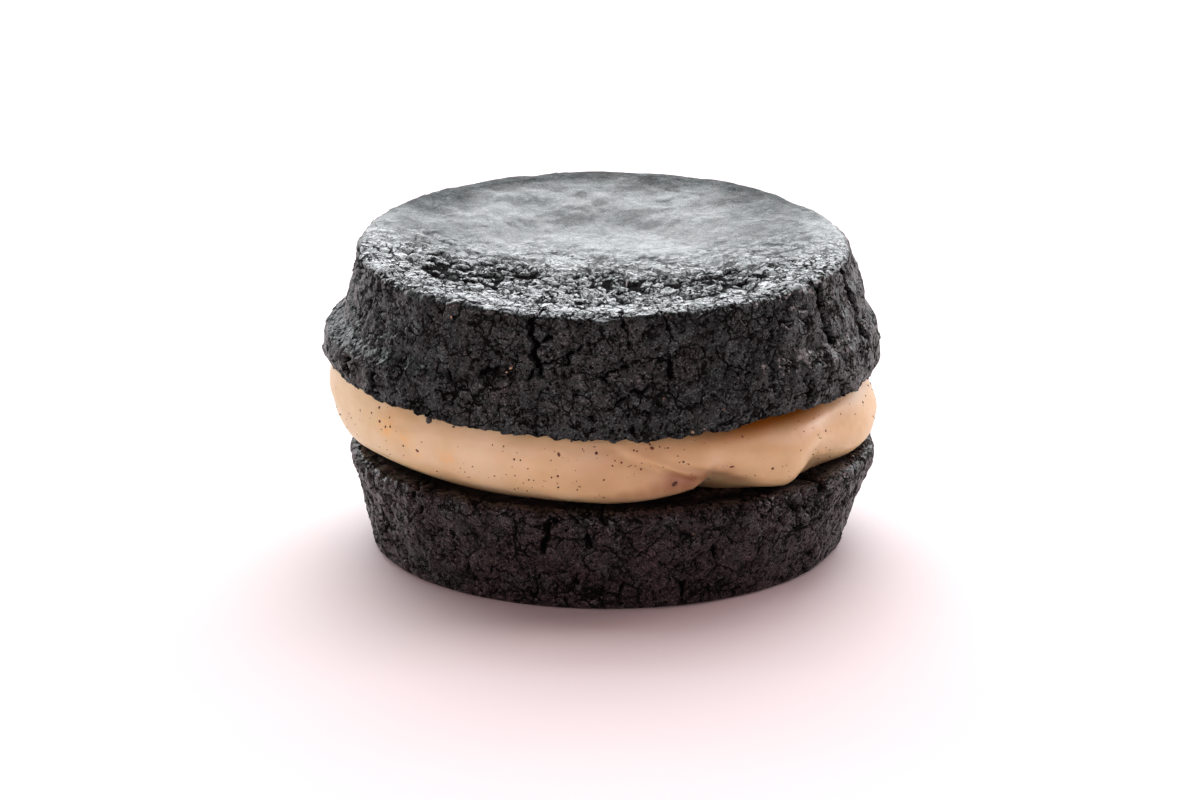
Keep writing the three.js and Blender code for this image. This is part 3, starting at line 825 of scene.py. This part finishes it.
def crust_film(tree, place, looks, glint):
    """Greasy film: patchy on the side that lay in the tin, and on the walls only on grains."""
    wall = ranged(tree, glint, 0.05, 0.8, 0.45 * looks.wall_coat, looks.wall_coat)
    patchy = ranged(tree, noise(tree, place, 420, 4, 0.65), 0.32, 0.68, 0.78, 1.35)
    patchy = blended(tree, painted(tree, "calm"), patchy, 1.04)
    dish = ranged(tree, painted(tree, "dull"), 0.0, 1.0, looks.top_coat, 0.0)
    return blended(tree, painted(tree, "tin_side"), wall, product(tree, patchy, dish))


def crust_material(name, looks, warm, browner):
    """Black cocoa crust: uneven black, hairline cracks, pits, pale flecks and a fine grain, with
    painted shade in the cracks and pits and painted glints on the grains.
    """
    material, tree, shader, place = new_material(name)
    tone = ranged(tree, noise(tree, place, 190), 0.42 - browner, 0.62 - browner)
    base = mixed(tree, tone, looks.crust_colour, warm)
    grey = ranged(tree, noise(tree, place, 420, 3), 0.50, 0.70, 0.0, 0.7 - browner)
    base = mixed(tree, grey, base, looks.grey_colour)

    bent = bent_place(tree, place, BEND_SCALE, 0.9 * MM)
    _, island = voronoi(tree, bent, ISLAND_SCALE)
    grain, chances = voronoi(tree, place, GRAIN_SCALE)
    glint = product(tree, chances[0], chances[0])
    glint = product(tree, glint, glint)
    # Grains lighter where they glint, which is a painted glint, and darker at their edges
    bright = product(tree, ranged(tree, glint, 0.0, 1.0, 0.8, 3.4),
                     ranged(tree, island[2], 0.0, 1.0, 0.68, 1.42))
    bright = product(tree, bright, ranged(tree, grain, 0.30, 0.62, 1.0, 0.35))
    even = node(tree, "ShaderNodeCombineColor", dict.fromkeys(("Red", "Green", "Blue"), bright))
    base = mixed(tree, 1.0, base, even.outputs[0], "MULTIPLY")
    away, chances = voronoi(tree, place, FLECK_SCALE)
    fleck = product(tree, ranged(tree, chances[0], 0.965, 0.975),
                    ranged(tree, away, 0.08, 0.16, 1.0, 0.0))
    base = mixed(tree, fleck, base, PALE_FLECK)
    crack = crust_cracks(tree, bent)
    # Painted shade deep in cracks, pits and crevices
    crevice = largest(tree, ranged(tree, painted(tree, "crevice"), 0.42, 0.70), crack)
    base = mixed(tree, crevice, base, looks.crevice_colour)
    tree.links.new(base, shader.inputs["Base Color"])

    rough = ranged(tree, noise(tree, place, 900, 3), 0.3, 0.7,
                   looks.crust_roughness - 0.1, looks.crust_roughness + 0.1)
    rough = maths(tree, "ADD", rough, product(tree, crevice, 0.4))
    tree.links.new(rough, shader.inputs["Roughness"])
    shader.inputs["Specular IOR Level"].default_value = looks.crust_gloss
    open_crust = maths(tree, "SUBTRACT", 1.0, crevice)
    film = product(tree, crust_film(tree, place, looks, glint), open_crust)
    tree.links.new(film, shader.inputs["Coat Weight"])
    shader.inputs["Coat Roughness"].default_value = looks.top_roughness

    fine_grain = product(tree, noise(tree, place, 8200, 2, 0.6), 0.8)
    height = maths(tree, "SUBTRACT", fine_grain, grain)
    smoother = ranged(tree, painted(tree, "tin_side"), 0.0, 1.0, 1.0, 0.35)
    height = maths(tree, "SUBTRACT", product(tree, height, smoother), product(tree, crack, 1.1))
    add_bump(tree, shader, height, looks.grain_height, 1.0)
    return material


def cream_material(looks):
    """Soft tan cream: pinker and yellower parts, orange stains, dark dots, a satin gloss, and
    painted shade and a painted highlight.
    """
    material, tree, shader, place = new_material("tan_cream")
    across = node(tree, "ShaderNodeSeparateXYZ", {0: place}).outputs[0]
    across = ranged(tree, across, -24 * MM, 12 * MM)
    tint = maths(tree, "MULTIPLY_ADD", across, 0.35, noise(tree, place, 95))
    base = mixed(tree, ranged(tree, tint, 0.42, 0.85), looks.cream_colour, looks.pink_colour)
    cloud = ranged(tree, noise(tree, place, 330, 4, 0.6), 0.35, 0.70, 0.0, 0.45)
    base = mixed(tree, cloud, base, looks.deep_colour)
    stain = product(tree, painted(tree, "stain"), ranged(tree, noise(tree, place, 1500), 0.3, 0.6))
    base = mixed(tree, stain, base, looks.stain_colour)
    # Painted highlight on the left shoulder, painted shade below the fold and painted shade under
    # the lip
    for name, colour in (("pale", looks.painted_highlight_colour), ("shade", looks.shade_colour),
                         ("lip_shade", looks.lip_shade_colour)):
        base = mixed(tree, painted(tree, name), base, colour)
    for scale, least, size in DOTS:
        away, chances = voronoi(tree, place, scale)
        dot = product(tree, ranged(tree, away, size * 0.6, size, 1.0, 0.0),
                      ranged(tree, chances[0], least, least + 0.01))
        base = mixed(tree, dot, base, mixed(tree, chances[1], looks.speck_colour, DOT_BROWN))
    tree.links.new(base, shader.inputs["Base Color"])
    rough = ranged(tree, noise(tree, place, 240, 3), 0.3, 0.7,
                   looks.cream_roughness - 0.07, looks.cream_roughness + 0.09)
    tree.links.new(rough, shader.inputs["Roughness"])
    shader.inputs["Subsurface Weight"].default_value = looks.softness
    shader.inputs["Subsurface Radius"].default_value = (1.0, 0.5, 0.28)
    shader.inputs["Subsurface Scale"].default_value = 1.6 * MM
    shader.inputs["Specular IOR Level"].default_value = 0.6
    add_bump(tree, shader, noise(tree, place, 1500, 3, 0.6), 0.05 * MM, 0.25)
    return material


def speck_material(name, colour):
    """One kind of ground spice, darker and lighter from place to place."""
    material, tree, shader, place = new_material(name)
    darker = tuple(0.45 * part for part in colour)
    base = mixed(tree, ranged(tree, noise(tree, place, 5200), 0.35, 0.65), colour, darker)
    tree.links.new(base, shader.inputs["Base Color"])
    shader.inputs["Roughness"].default_value = 0.55
    return material


def add_grain(bm, centre, out, size, flat, seed, material_index):
    """Adds one small angular grain at a place, flattened along the way out of the surface."""
    turn = Vector(out).to_track_quat("Z", "Y").to_matrix().to_4x4()
    spin = Matrix.Rotation(seed * 2.4, 4, "Z")
    shape = Matrix.Diagonal((1.0, 0.72 + 0.25 * math.sin(seed), flat, 1.0))
    matrix = Matrix.Translation(Vector(centre) * MM) @ turn @ spin @ shape
    made = bmesh.ops.create_icosphere(
        bm, subdivisions=1 if size < 0.5 else 2, radius=size / 2 * MM, matrix=matrix
    )["verts"]
    places = np.array([v.co for v in made]) / MM
    pull = 1 + 0.28 * soft_noise(places / (0.45 * size) + seed, 90)
    middle = Vector(centre) * MM
    for vert, share in zip(made, pull):
        vert.co = middle + (vert.co - middle) * float(share)
    for face in {face for vert in made for face in vert.link_faces}:
        face.material_index = material_index


class CrustLooks(bpy.types.PropertyGroup):
    """Relief and colour of the two cookies."""

    plate_size: FloatProperty(
        name="Plate size", description="Width of the broken plates of the walls",
        default=2.4 * MM, min=1 * MM, max=6 * MM, subtype="DISTANCE", unit="LENGTH", precision=5)
    crumb_size: FloatProperty(
        name="Crumb size", description="Width of a crumb of the walls",
        default=0.95 * MM, min=0.3 * MM, max=3 * MM, subtype="DISTANCE", unit="LENGTH", precision=5)
    lump_height: FloatProperty(
        name="Lump height", description="How far the soft lumps of the wall stand out",
        default=0.13 * MM, min=0, max=1 * MM, subtype="DISTANCE", unit="LENGTH", precision=5)
    scale_height: FloatProperty(
        name="Scale height", description="How far the scales of the dished top stand out",
        default=0.20 * MM, min=0, max=1 * MM, subtype="DISTANCE", unit="LENGTH", precision=5)
    crack_depth: FloatProperty(
        name="Crack depth", description="Depth of the gaps between the plates and of the pits",
        default=0.36 * MM, min=0, max=1 * MM, subtype="DISTANCE", unit="LENGTH", precision=5)
    grain_height: FloatProperty(
        name="Grain height", description="Depth of the finest grain, drawn by the material",
        default=0.11 * MM, min=0, max=0.5 * MM, subtype="DISTANCE", unit="LENGTH", precision=5)
    crust_colour: FloatVectorProperty(
        name="Crust", description="Main colour of the crust", subtype="COLOR",
        default=(0.0215, 0.0300, 0.0302), min=0, max=1)
    warm_colour: FloatVectorProperty(
        name="Warm crust", description="Browner parts of the crust", subtype="COLOR",
        default=(0.0325, 0.0285, 0.0282), min=0, max=1)
    brown_colour: FloatVectorProperty(
        name="Brown crust", description="Browner parts of the cookie below", subtype="COLOR",
        default=(0.0320, 0.0215, 0.0222), min=0, max=1)
    grey_colour: FloatVectorProperty(
        name="Grey crust", description="Greyer parts of the crust", subtype="COLOR",
        default=(0.038, 0.055, 0.055), min=0, max=1)
    # Colour of the painted shade deep in cracks and pits
    crevice_colour: FloatVectorProperty(
        name="Crevice", description="Colour deep in cracks and pits", subtype="COLOR",
        default=(0.0012, 0.0009, 0.0009), min=0, max=1)
    crust_roughness: FloatProperty(
        name="Wall roughness", description="Roughness of the crumbly walls",
        default=0.52, min=0.1, max=1, subtype="FACTOR")
    top_roughness: FloatProperty(
        name="Top roughness", description="Roughness of the greasy film on the tin side",
        default=0.24, min=0.1, max=1, subtype="FACTOR")
    top_coat: FloatProperty(
        name="Top film", description="Strength of the greasy film on the side that lay in the tin",
        default=1.0, min=0, max=1, subtype="FACTOR")
    wall_coat: FloatProperty(
        name="Wall film", description="Strength of the greasy film on the grains of the walls",
        default=0.75, min=0, max=1, subtype="FACTOR")
    crust_gloss: FloatProperty(
        name="Gloss", description="Strength of the dry crust's own reflections",
        default=0.12, min=0, max=1, subtype="FACTOR")


class CreamLooks(bpy.types.PropertyGroup):
    """Colours and specks of the cream."""

    cream_colour: FloatVectorProperty(
        name="Cream", description="Main colour of the cream", subtype="COLOR",
        default=(0.75, 0.60, 0.350), min=0, max=1)
    pink_colour: FloatVectorProperty(
        name="Pink cream", description="Pinker parts of the cream", subtype="COLOR",
        default=(0.750, 0.520, 0.280), min=0, max=1)
    deep_colour: FloatVectorProperty(
        name="Deep cream", description="Darker clouds in the cream", subtype="COLOR",
        default=(0.64, 0.44, 0.185), min=0, max=1)
    stain_colour: FloatVectorProperty(
        name="Stain", description="Orange spice stains", subtype="COLOR",
        default=(0.82, 0.46, 0.11), min=0, max=1)
    # Colour of the painted shade on the cream close under the lip
    lip_shade_colour: FloatVectorProperty(
        name="Amber", description="The darker cream close under the lip", subtype="COLOR",
        default=(0.50, 0.165, 0.010), min=0, max=1)
    # Colour of the painted highlight on the cream's left shoulder
    painted_highlight_colour: FloatVectorProperty(
        name="Pale cream", description="Paler parts of the cream", subtype="COLOR",
        default=(0.86, 0.74, 0.53), min=0, max=1)
    # Colour of the painted shade on the cream below its fold and along its lower edge
    shade_colour: FloatVectorProperty(
        name="Shade", description="Browner parts of the cream, as below its fold", subtype="COLOR",
        default=(0.36, 0.150, 0.075), min=0, max=1)
    speck_colour: FloatVectorProperty(
        name="Speck", description="Colour of the darkest specks", subtype="COLOR",
        default=(0.095, 0.036, 0.018), min=0, max=1)
    cream_roughness: FloatProperty(
        name="Roughness", description="Roughness of the cream",
        default=0.42, min=0.1, max=1, subtype="FACTOR")
    softness: FloatProperty(
        name="Softness", description="Share of the light that spreads inside the cream",
        default=0.35, min=0, max=1, subtype="FACTOR")
    specks: IntProperty(
        name="Small specks", description="How many small specks are scattered over the cream",
        default=420, min=0, max=900)


class StageLooks(bpy.types.PropertyGroup):
    """Floor, lights and camera."""

    floor_radius: FloatProperty(
        name="Floor", description="Radius of the pale floor",
        default=4.0, min=0.5, max=20, subtype="DISTANCE", unit="LENGTH")
    floor_colour: FloatVectorProperty(
        name="Floor colour", description="Colour of the pale floor", subtype="COLOR",
        default=(0.865, 0.775, 0.78), min=0, max=1)
    back_light: FloatProperty(
        name="Back light", description="Power of the large light behind the sandwich",
        default=22.0, min=0, max=100, subtype="POWER", unit="POWER")
    high_light: FloatProperty(
        name="High light", description="Power of the soft light high up behind the sandwich",
        default=3.4, min=0, max=100, subtype="POWER", unit="POWER")
    top_light: FloatProperty(
        name="Top light", description="Power of the soft light overhead",
        default=3.7, min=0, max=100, subtype="POWER", unit="POWER")
    front_light: FloatProperty(
        name="Front light", description="Power of the low fill light in front",
        default=3.9, min=0, max=100, subtype="POWER", unit="POWER")
    side_light: FloatProperty(
        name="Side light", description="Power of the soft light at the right",
        default=2.7, min=0, max=100, subtype="POWER", unit="POWER")
    room_light: FloatProperty(
        name="Room light", description="Strength of the even light of the room",
        default=0.14, min=0, max=5)
    cool_light: FloatVectorProperty(
        name="Cool light", description="Colour of the lights behind and overhead",
        subtype="COLOR", default=(0.94, 0.98, 1.0), min=0, max=1)
    warm_light: FloatVectorProperty(
        name="Warm light", description="Colour of the fill light in front and of the room",
        subtype="COLOR", default=(1.0, 0.73, 0.74), min=0, max=1)
    camera_height: FloatProperty(
        name="Camera height", description="Angle by which the camera looks down",
        default=math.radians(17.2), min=0, max=math.pi / 2, subtype="ANGLE", unit="ROTATION")
    camera_distance: FloatProperty(
        name="Camera distance", description="Distance of the camera from the sandwich",
        default=0.70, min=0.2, max=3, subtype="DISTANCE", unit="LENGTH")


class SANDWICH_OT_lower_cookie(bpy.types.Operator):
    """Models the cookie that the sandwich stands on"""

    bl_idname = "sandwich.lower_cookie"
    bl_label = "Lower Cookie"

    def execute(self, context):
        looks = context.scene.sandwich_crust
        foot = (FOOT_RADIUS - FOOT_ROUND, 0)
        wall = ((FOOT_RADIUS, FOOT_ROUND), (BED_RADIUS, BED_Z - BED_EDGE))
        bed = (BED_RADIUS - BED_EDGE, BED_Z)
        # The rows are wide near the axis, where the faces are flat and hidden
        profile = [(0, 0), (16, 0)]
        profile += straight((22, 0), foot, UNDER_ROW)
        profile += bend(foot, (FOOT_RADIUS, 0), wall[0], FINE_ROW)
        profile += straight(*wall, FINE_ROW)
        profile += bend(wall[1], (BED_RADIUS, BED_Z), bed, FINE_ROW)
        profile += straight(bed, (24, BED_Z), FLAT_ROW)
        profile += [(24, BED_Z), (14, BED_Z), (0, BED_Z)]
        bm = lathe_shell(profile, CRUST_AROUND)
        crowd_front(bm.verts, FOOT_RADIUS, FRONT_SHARE)
        material = crust_material("black_crust_below", looks, looks.brown_colour, 0.24)
        piece = new_piece("lower_cookie_crust", bm, [material], ["lower_cookie"])
        mesh = piece.data
        drum = mesh_points(mesh)
        radius, bearing = polar(drum)
        p = lower_form(drum)
        set_points(mesh, p)
        shown = smoothstep(radius, 22, 25.5) * smoothstep(drum[:, 2], 0.02, 0.9)
        relief, cut = wall_relief(p, looks, LOWER_SEED)
        # Painted shade on the lower cookie's top just inside its edge, under the cream, drawn as
        # crevice
        bed_shade = smoothstep(drum[:, 2], BED_Z - 0.3, BED_Z) * (1 - smoothstep(radius, 26.8, 28.4))
        cut = np.maximum(cut, 0.66 * bed_shade)
        cracks = crack_field(bearing, drum[:, 2], LOWER_CRACKS, BED_RADIUS)
        p = p + mesh_normals(mesh) * (shown * (1.15 * relief - cracks))[:, None]
        set_points(mesh, p * MM)
        # Painted shade in the relief's gaps and pits and in the drawn cracks
        paint(mesh, "crevice", shown * np.maximum(cut, np.clip(CRACK_DARK * cracks, 0, 1)))
        for name in ("tin_side", "calm", "dull"):
            paint(mesh, name, np.zeros(len(p)))
        return {"FINISHED"}


class SANDWICH_OT_upper_cookie(bpy.types.Operator):
    """Models the cookie on top, with its dish, rim, wall and lip"""

    bl_idname = "sandwich.upper_cookie"
    bl_label = "Upper Cookie"

    def execute(self, context):
        looks = context.scene.sandwich_crust
        bm = round_sheet(TOP_ACROSS, 1)
        for vert in bm.verts:
            ring = math.hypot(vert.co.x, vert.co.y)
            vert.co *= CREST_RADIUS * ring**-0.15 if ring > 0 else 1
            vert.co.z = float(dish_height(math.hypot(vert.co.x, vert.co.y)))
        shoulder = (SHOULDER_RADIUS, CREST_Z)
        wall = ((WALL_HIGH_RADIUS, WALL_TOP_Z), (WALL_LOW_RADIUS, UNDER_Z))
        rings = straight((CREST_RADIUS, CREST_Z), shoulder, FINE_ROW)[1:]
        rings += bend(shoulder, (WALL_HIGH_RADIUS, CREST_Z), wall[0], FINE_ROW)
        rings += straight(*wall, FINE_ROW)
        rings += straight(wall[1], (27.2, UNDER_Z), FLAT_ROW)
        rings += [(27.2, UNDER_Z), (25.6, UNDER_Z), (UNDER_FLAT_RADIUS, UNDER_Z), (14, UNDER_Z)]
        draw_out(bm, rings)
        crowd_front(bm.verts, CREST_RADIUS, FRONT_SHARE)
        material = crust_material("black_crust_above", looks, looks.warm_colour, -0.07)
        piece = new_piece("upper_cookie_crust", bm, [material], ["upper_cookie"])
        mesh = piece.data
        drum = mesh_points(mesh)
        radius, bearing = polar(drum)
        p, on_wall = upper_form(drum)
        set_points(mesh, p)
        top = (1 - on_wall) * (drum[:, 2] > UNDER_Z + 5)
        under = (drum[:, 2] < UNDER_Z + 0.01) * (1 - smoothstep(radius, 26.2, 28))
        relief = np.zeros(len(p))
        cut = np.zeros(len(p))
        for shown, make, seed in ((top, top_relief, DISH_SEED),
                                  ((1 - top) * (1 - under), wall_relief, WALL_SEED)):
            here = shown > 0
            raised, opened = make(p[here], looks, seed)
            relief[here] += shown[here] * raised
            cut[here] += shown[here] * opened
        level = drum[:, 2] + top * (WALL_HIGH_RADIUS - radius)
        cracks = crack_field(bearing, level, UPPER_CRACKS, WALL_HIGH_RADIUS)
        p = p + mesh_normals(mesh) * (relief - cracks)[:, None]
        set_points(mesh, p * MM)
        # Painted shade in the relief's gaps and pits and in the drawn cracks
        paint(mesh, "crevice", np.maximum(cut, np.clip(CRACK_DARK * cracks, 0, 1)))
        tin_side = smoothstep(top, 0.35, 0.75)
        paint(mesh, "tin_side", tin_side)
        paint(mesh, "calm", tin_side * calm_share(p))
        paint(mesh, "dull", tin_side * dull_share(p))
        return {"FINISHED"}


class SANDWICH_OT_cream(bpy.types.Operator):
    """Models the cream that bulges between the cookies, with its fold"""

    bl_idname = "sandwich.cream"
    bl_label = "Cream"

    def execute(self, context):
        looks = context.scene.sandwich_cream
        profile = [(0, 0), (16, 0), (24, 0), (27, 0)]
        profile += straight((CREAM_DRUM, 0), (CREAM_DRUM, 1), CREAM_ROW)
        profile += [(CREAM_DRUM, 1), (27, 1), (24, 1), (16, 1), (0, 1)]
        piece = new_piece("cream_bulge", lathe_shell(profile, CREAM_AROUND),
                          [cream_material(looks)], ["cream_filling"])
        mesh = piece.data
        drum = mesh_points(mesh)
        radius, bearing = polar(drum)
        share = drum[:, 2]
        p = cream_form(share, bearing)
        inner = radius / CREAM_DRUM
        within = inner < 0.999
        p[:, :2] *= np.where(within, inner, 1)[:, None]
        flat = np.where(share < 0.5, BED_Z - CREAM_SINK, UNDER_Z + CREAM_SINK)
        sunk = flat + (p[:, 2] - flat) * smoothstep(inner, 0.86, 1)
        p[:, 2] = np.where(within, sunk, p[:, 2])
        side = smoothstep(share, 0.05, 0.2) * (inner > 0.999)
        sway = 0.13 * soft_noise(p / (4.5, 4.5, 2.6), 31)
        sway += 0.05 * soft_noise(p / (2.4, 2.4, 0.9), 35)
        sway += 0.02 * soft_noise(p / 0.7, 39)
        p[:, :2] *= (1 + side * sway / 28.5)[:, None]
        set_points(mesh, p * MM)
        # Orange stains, painted shade below the fold and a painted highlight on the left shoulder
        for name, spots in (("stain", STAINS), ("shade", SHADES), ("pale", PAINTED_HIGHLIGHT_PARTS)):
            paint(mesh, name, blots(p, spots))
        _, bearing = polar(p - (UPPER_SHIFT, 0, 0))
        # Painted shade on the cream close under the lip, fading out downwards
        head = UNDER_Z - outline(LIP_DROOP, bearing)
        lip_shade = outline(LIP_SHADE_PARTS, bearing)
        lip_shade = lip_shade * (1 - smoothstep(head + 0.2 - p[:, 2], 0.7, 2.4))
        paint(mesh, "lip_shade", np.clip(lip_shade, 0, 1))
        return {"FINISHED"}


class SANDWICH_OT_specks(bpy.types.Operator):
    """Strews the cream with specks of ground spice, half sunk in its surface"""

    bl_idname = "sandwich.specks"
    bl_label = "Specks"

    def execute(self, context):
        looks = context.scene.sandwich_cream
        kinds = [speck_material("dark_spice", tuple(looks.speck_colour)),
                 speck_material("brown_spice", BROWN_SPICE),
                 speck_material("red_spice", RED_SPICE)]
        count = np.arange(looks.specks)
        draws = [scatter(count, count * 0, count * 0, SPECK_SEED + n) for n in range(4)]
        bearing = 360 * draws[0] - 180
        z = 12.9 + 6.6 * draws[1]
        size = 0.15 + 0.24 * draws[2] ** 2
        kind = np.floor(2.99 * draws[3]).astype(int)
        strewn = SPECKS + list(zip(bearing, z, size, kind))
        bm = bmesh.new()
        for n, (at, height, width, sort) in enumerate(strewn):
            centre, out = cream_spot(at, height)
            centre -= out * 0.12 * width
            add_grain(bm, centre, out, width, 0.55, 1.0 + n % 17, int(sort))
        bmesh.ops.recalc_face_normals(bm, faces=bm.faces)
        new_piece("cream_specks", bm, kinds)
        return {"FINISHED"}


class SANDWICH_OT_crumbs(bpy.types.Operator):
    """Sets the few loose crumbs and pale grains on the crust"""

    bl_idname = "sandwich.crumbs"
    bl_label = "Loose Crumbs"

    def execute(self, context):
        looks = context.scene.sandwich_crust
        kinds = [speck_material("loose_crumb", tuple(looks.warm_colour)),
                 speck_material("pale_grain", PALE_GRAIN)]
        bm = bmesh.new()
        for n, (at, z, width, pale) in enumerate(CRUMBS):
            upper = z > UNDER_Z - 1
            wall = upper_wall_radius(z) if upper else lower_wall_radius(z)
            wall += outline(LIP_SWELL, np.array([float(at)]))[0] * LIP_TUCK if 19 < z < 22 else 0
            shift = UPPER_SHIFT if upper else 0.8
            turn = math.radians(at)
            centre = Vector((wall * math.cos(turn) + shift, wall * math.sin(turn), z))
            out = Vector((math.cos(turn), math.sin(turn), 0.1))
            add_grain(bm, centre + out * 0.1, out, width, 0.75, 3.0 + n, int(pale))
        bmesh.ops.recalc_face_normals(bm, faces=bm.faces)
        new_piece("loose_crumbs", bm, kinds)
        return {"FINISHED"}


class SANDWICH_OT_stage(bpy.types.Operator):
    """Sets the pale floor, the soft lights and the camera"""

    bl_idname = "sandwich.stage"
    bl_label = "Stage"

    def execute(self, context):
        looks = context.scene.sandwich_stage
        scene = context.scene
        bm = bmesh.new()
        bmesh.ops.create_circle(bm, cap_ends=True, segments=96, radius=looks.floor_radius)
        mesh = bpy.data.meshes.new("pale_floor")
        bm.to_mesh(mesh)
        bm.free()
        floor = bpy.data.objects.new("pale_floor", mesh)
        scene.collection.objects.link(floor)
        material, tree, shader, place = new_material("pale_floor")
        paler = tuple(min(1, 1.02 * part) for part in looks.floor_colour)
        cloud = ranged(tree, noise(tree, place, 14, 3), 0.3, 0.7, 0.0, 0.5)
        tone = mixed(tree, cloud, looks.floor_colour, paler)
        tree.links.new(tone, shader.inputs["Base Color"])
        shader.inputs["Roughness"].default_value = 0.7
        mesh.materials.append(material)

        scene.view_settings.view_transform = "Standard"
        world = bpy.data.worlds.new("even_room")
        world.use_nodes = True
        room = world.node_tree.nodes["Background"].inputs
        room["Strength"].default_value = looks.room_light
        room["Color"].default_value = (*looks.warm_light, 1)
        scene.world = world
        aim = Vector(LIGHT_AIM) * MM
        for name, place, size, power, colour in (
            ("back_light", (0, 0.80, 0.36), (3.6, 0.52), looks.back_light, looks.cool_light),
            ("high_light", (0, 0.52, 0.66), (0.8, 0.42), looks.high_light, looks.cool_light),
            ("top_light", (0, 0.25, 0.82), (0.9, 0.4), looks.top_light, looks.cool_light),
            ("front_card", (-0.38, -0.72, 0.30), (1.6, 0.36), looks.front_light, looks.warm_light),
            ("side_light", (0.80, 0.24, 0.36), (0.4, 0.4), looks.side_light, looks.warm_light),
        ):
            data = bpy.data.lights.new(name, "AREA")
            data.shape = "RECTANGLE"
            data.size, data.size_y = size
            data.energy = power
            data.color = colour
            light = bpy.data.objects.new(name, data)
            scene.collection.objects.link(light)
            light.location = place
            light.rotation_euler = (aim - Vector(place)).to_track_quat("-Z", "Y").to_euler()

        data = bpy.data.cameras.new("camera")
        data.sensor_width = FILM_WIDTH
        data.lens = LENS_LENGTH
        data.clip_start = 0.01
        camera = bpy.data.objects.new("camera", data)
        scene.collection.objects.link(camera)
        aim = Vector(CAMERA_AIM) * MM
        back = Vector((0, -math.cos(looks.camera_height), math.sin(looks.camera_height)))
        camera.location = aim + back * looks.camera_distance
        camera.rotation_euler = (math.pi / 2 - looks.camera_height, 0, 0)
        scene.camera = camera
        return {"FINISHED"}


class VIEW3D_PT_sandwich(bpy.types.Panel):
    """Lists the pieces of the sandwich and what can be changed on them"""

    bl_label = "Cookie Sandwich"
    bl_space_type = "VIEW_3D"
    bl_region_type = "UI"
    bl_category = "Cookie Sandwich"

    def draw(self, context):
        for pointer, operators in GROUPS.items():
            box = self.layout.box()
            looks = getattr(context.scene, pointer)
            for name in looks.__annotations__:
                box.prop(looks, name)
            for operator in operators:
                box.operator(operator.bl_idname)


# The settings, and the operators that read them, in the order of the panel
LOOKS = {"sandwich_crust": CrustLooks, "sandwich_cream": CreamLooks, "sandwich_stage": StageLooks}
GROUPS = {
    "sandwich_stage": [SANDWICH_OT_stage],
    "sandwich_crust": [SANDWICH_OT_lower_cookie, SANDWICH_OT_upper_cookie, SANDWICH_OT_crumbs],
    "sandwich_cream": [SANDWICH_OT_cream, SANDWICH_OT_specks],
}
CLASSES = [*LOOKS.values(), *(c for group in GROUPS.values() for c in group), VIEW3D_PT_sandwich]


def register():
    """Makes the settings, operators and panel known."""
    for cls in CLASSES:
        bpy.utils.register_class(cls)
    for pointer, group in LOOKS.items():
        setattr(bpy.types.Scene, pointer, PointerProperty(type=group))


def unregister():
    """Takes the settings, operators and panel away again."""
    for pointer in LOOKS:
        delattr(bpy.types.Scene, pointer)
    for cls in reversed(CLASSES):
        bpy.utils.unregister_class(cls)


def main():
    """Models the sandwich on its stage."""
    register()
    bpy.ops.sandwich.stage()
    bpy.ops.sandwich.lower_cookie()
    bpy.ops.sandwich.cream()
    bpy.ops.sandwich.upper_cookie()
    bpy.ops.sandwich.specks()
    bpy.ops.sandwich.crumbs()


if __name__ == "__main__":
    main()
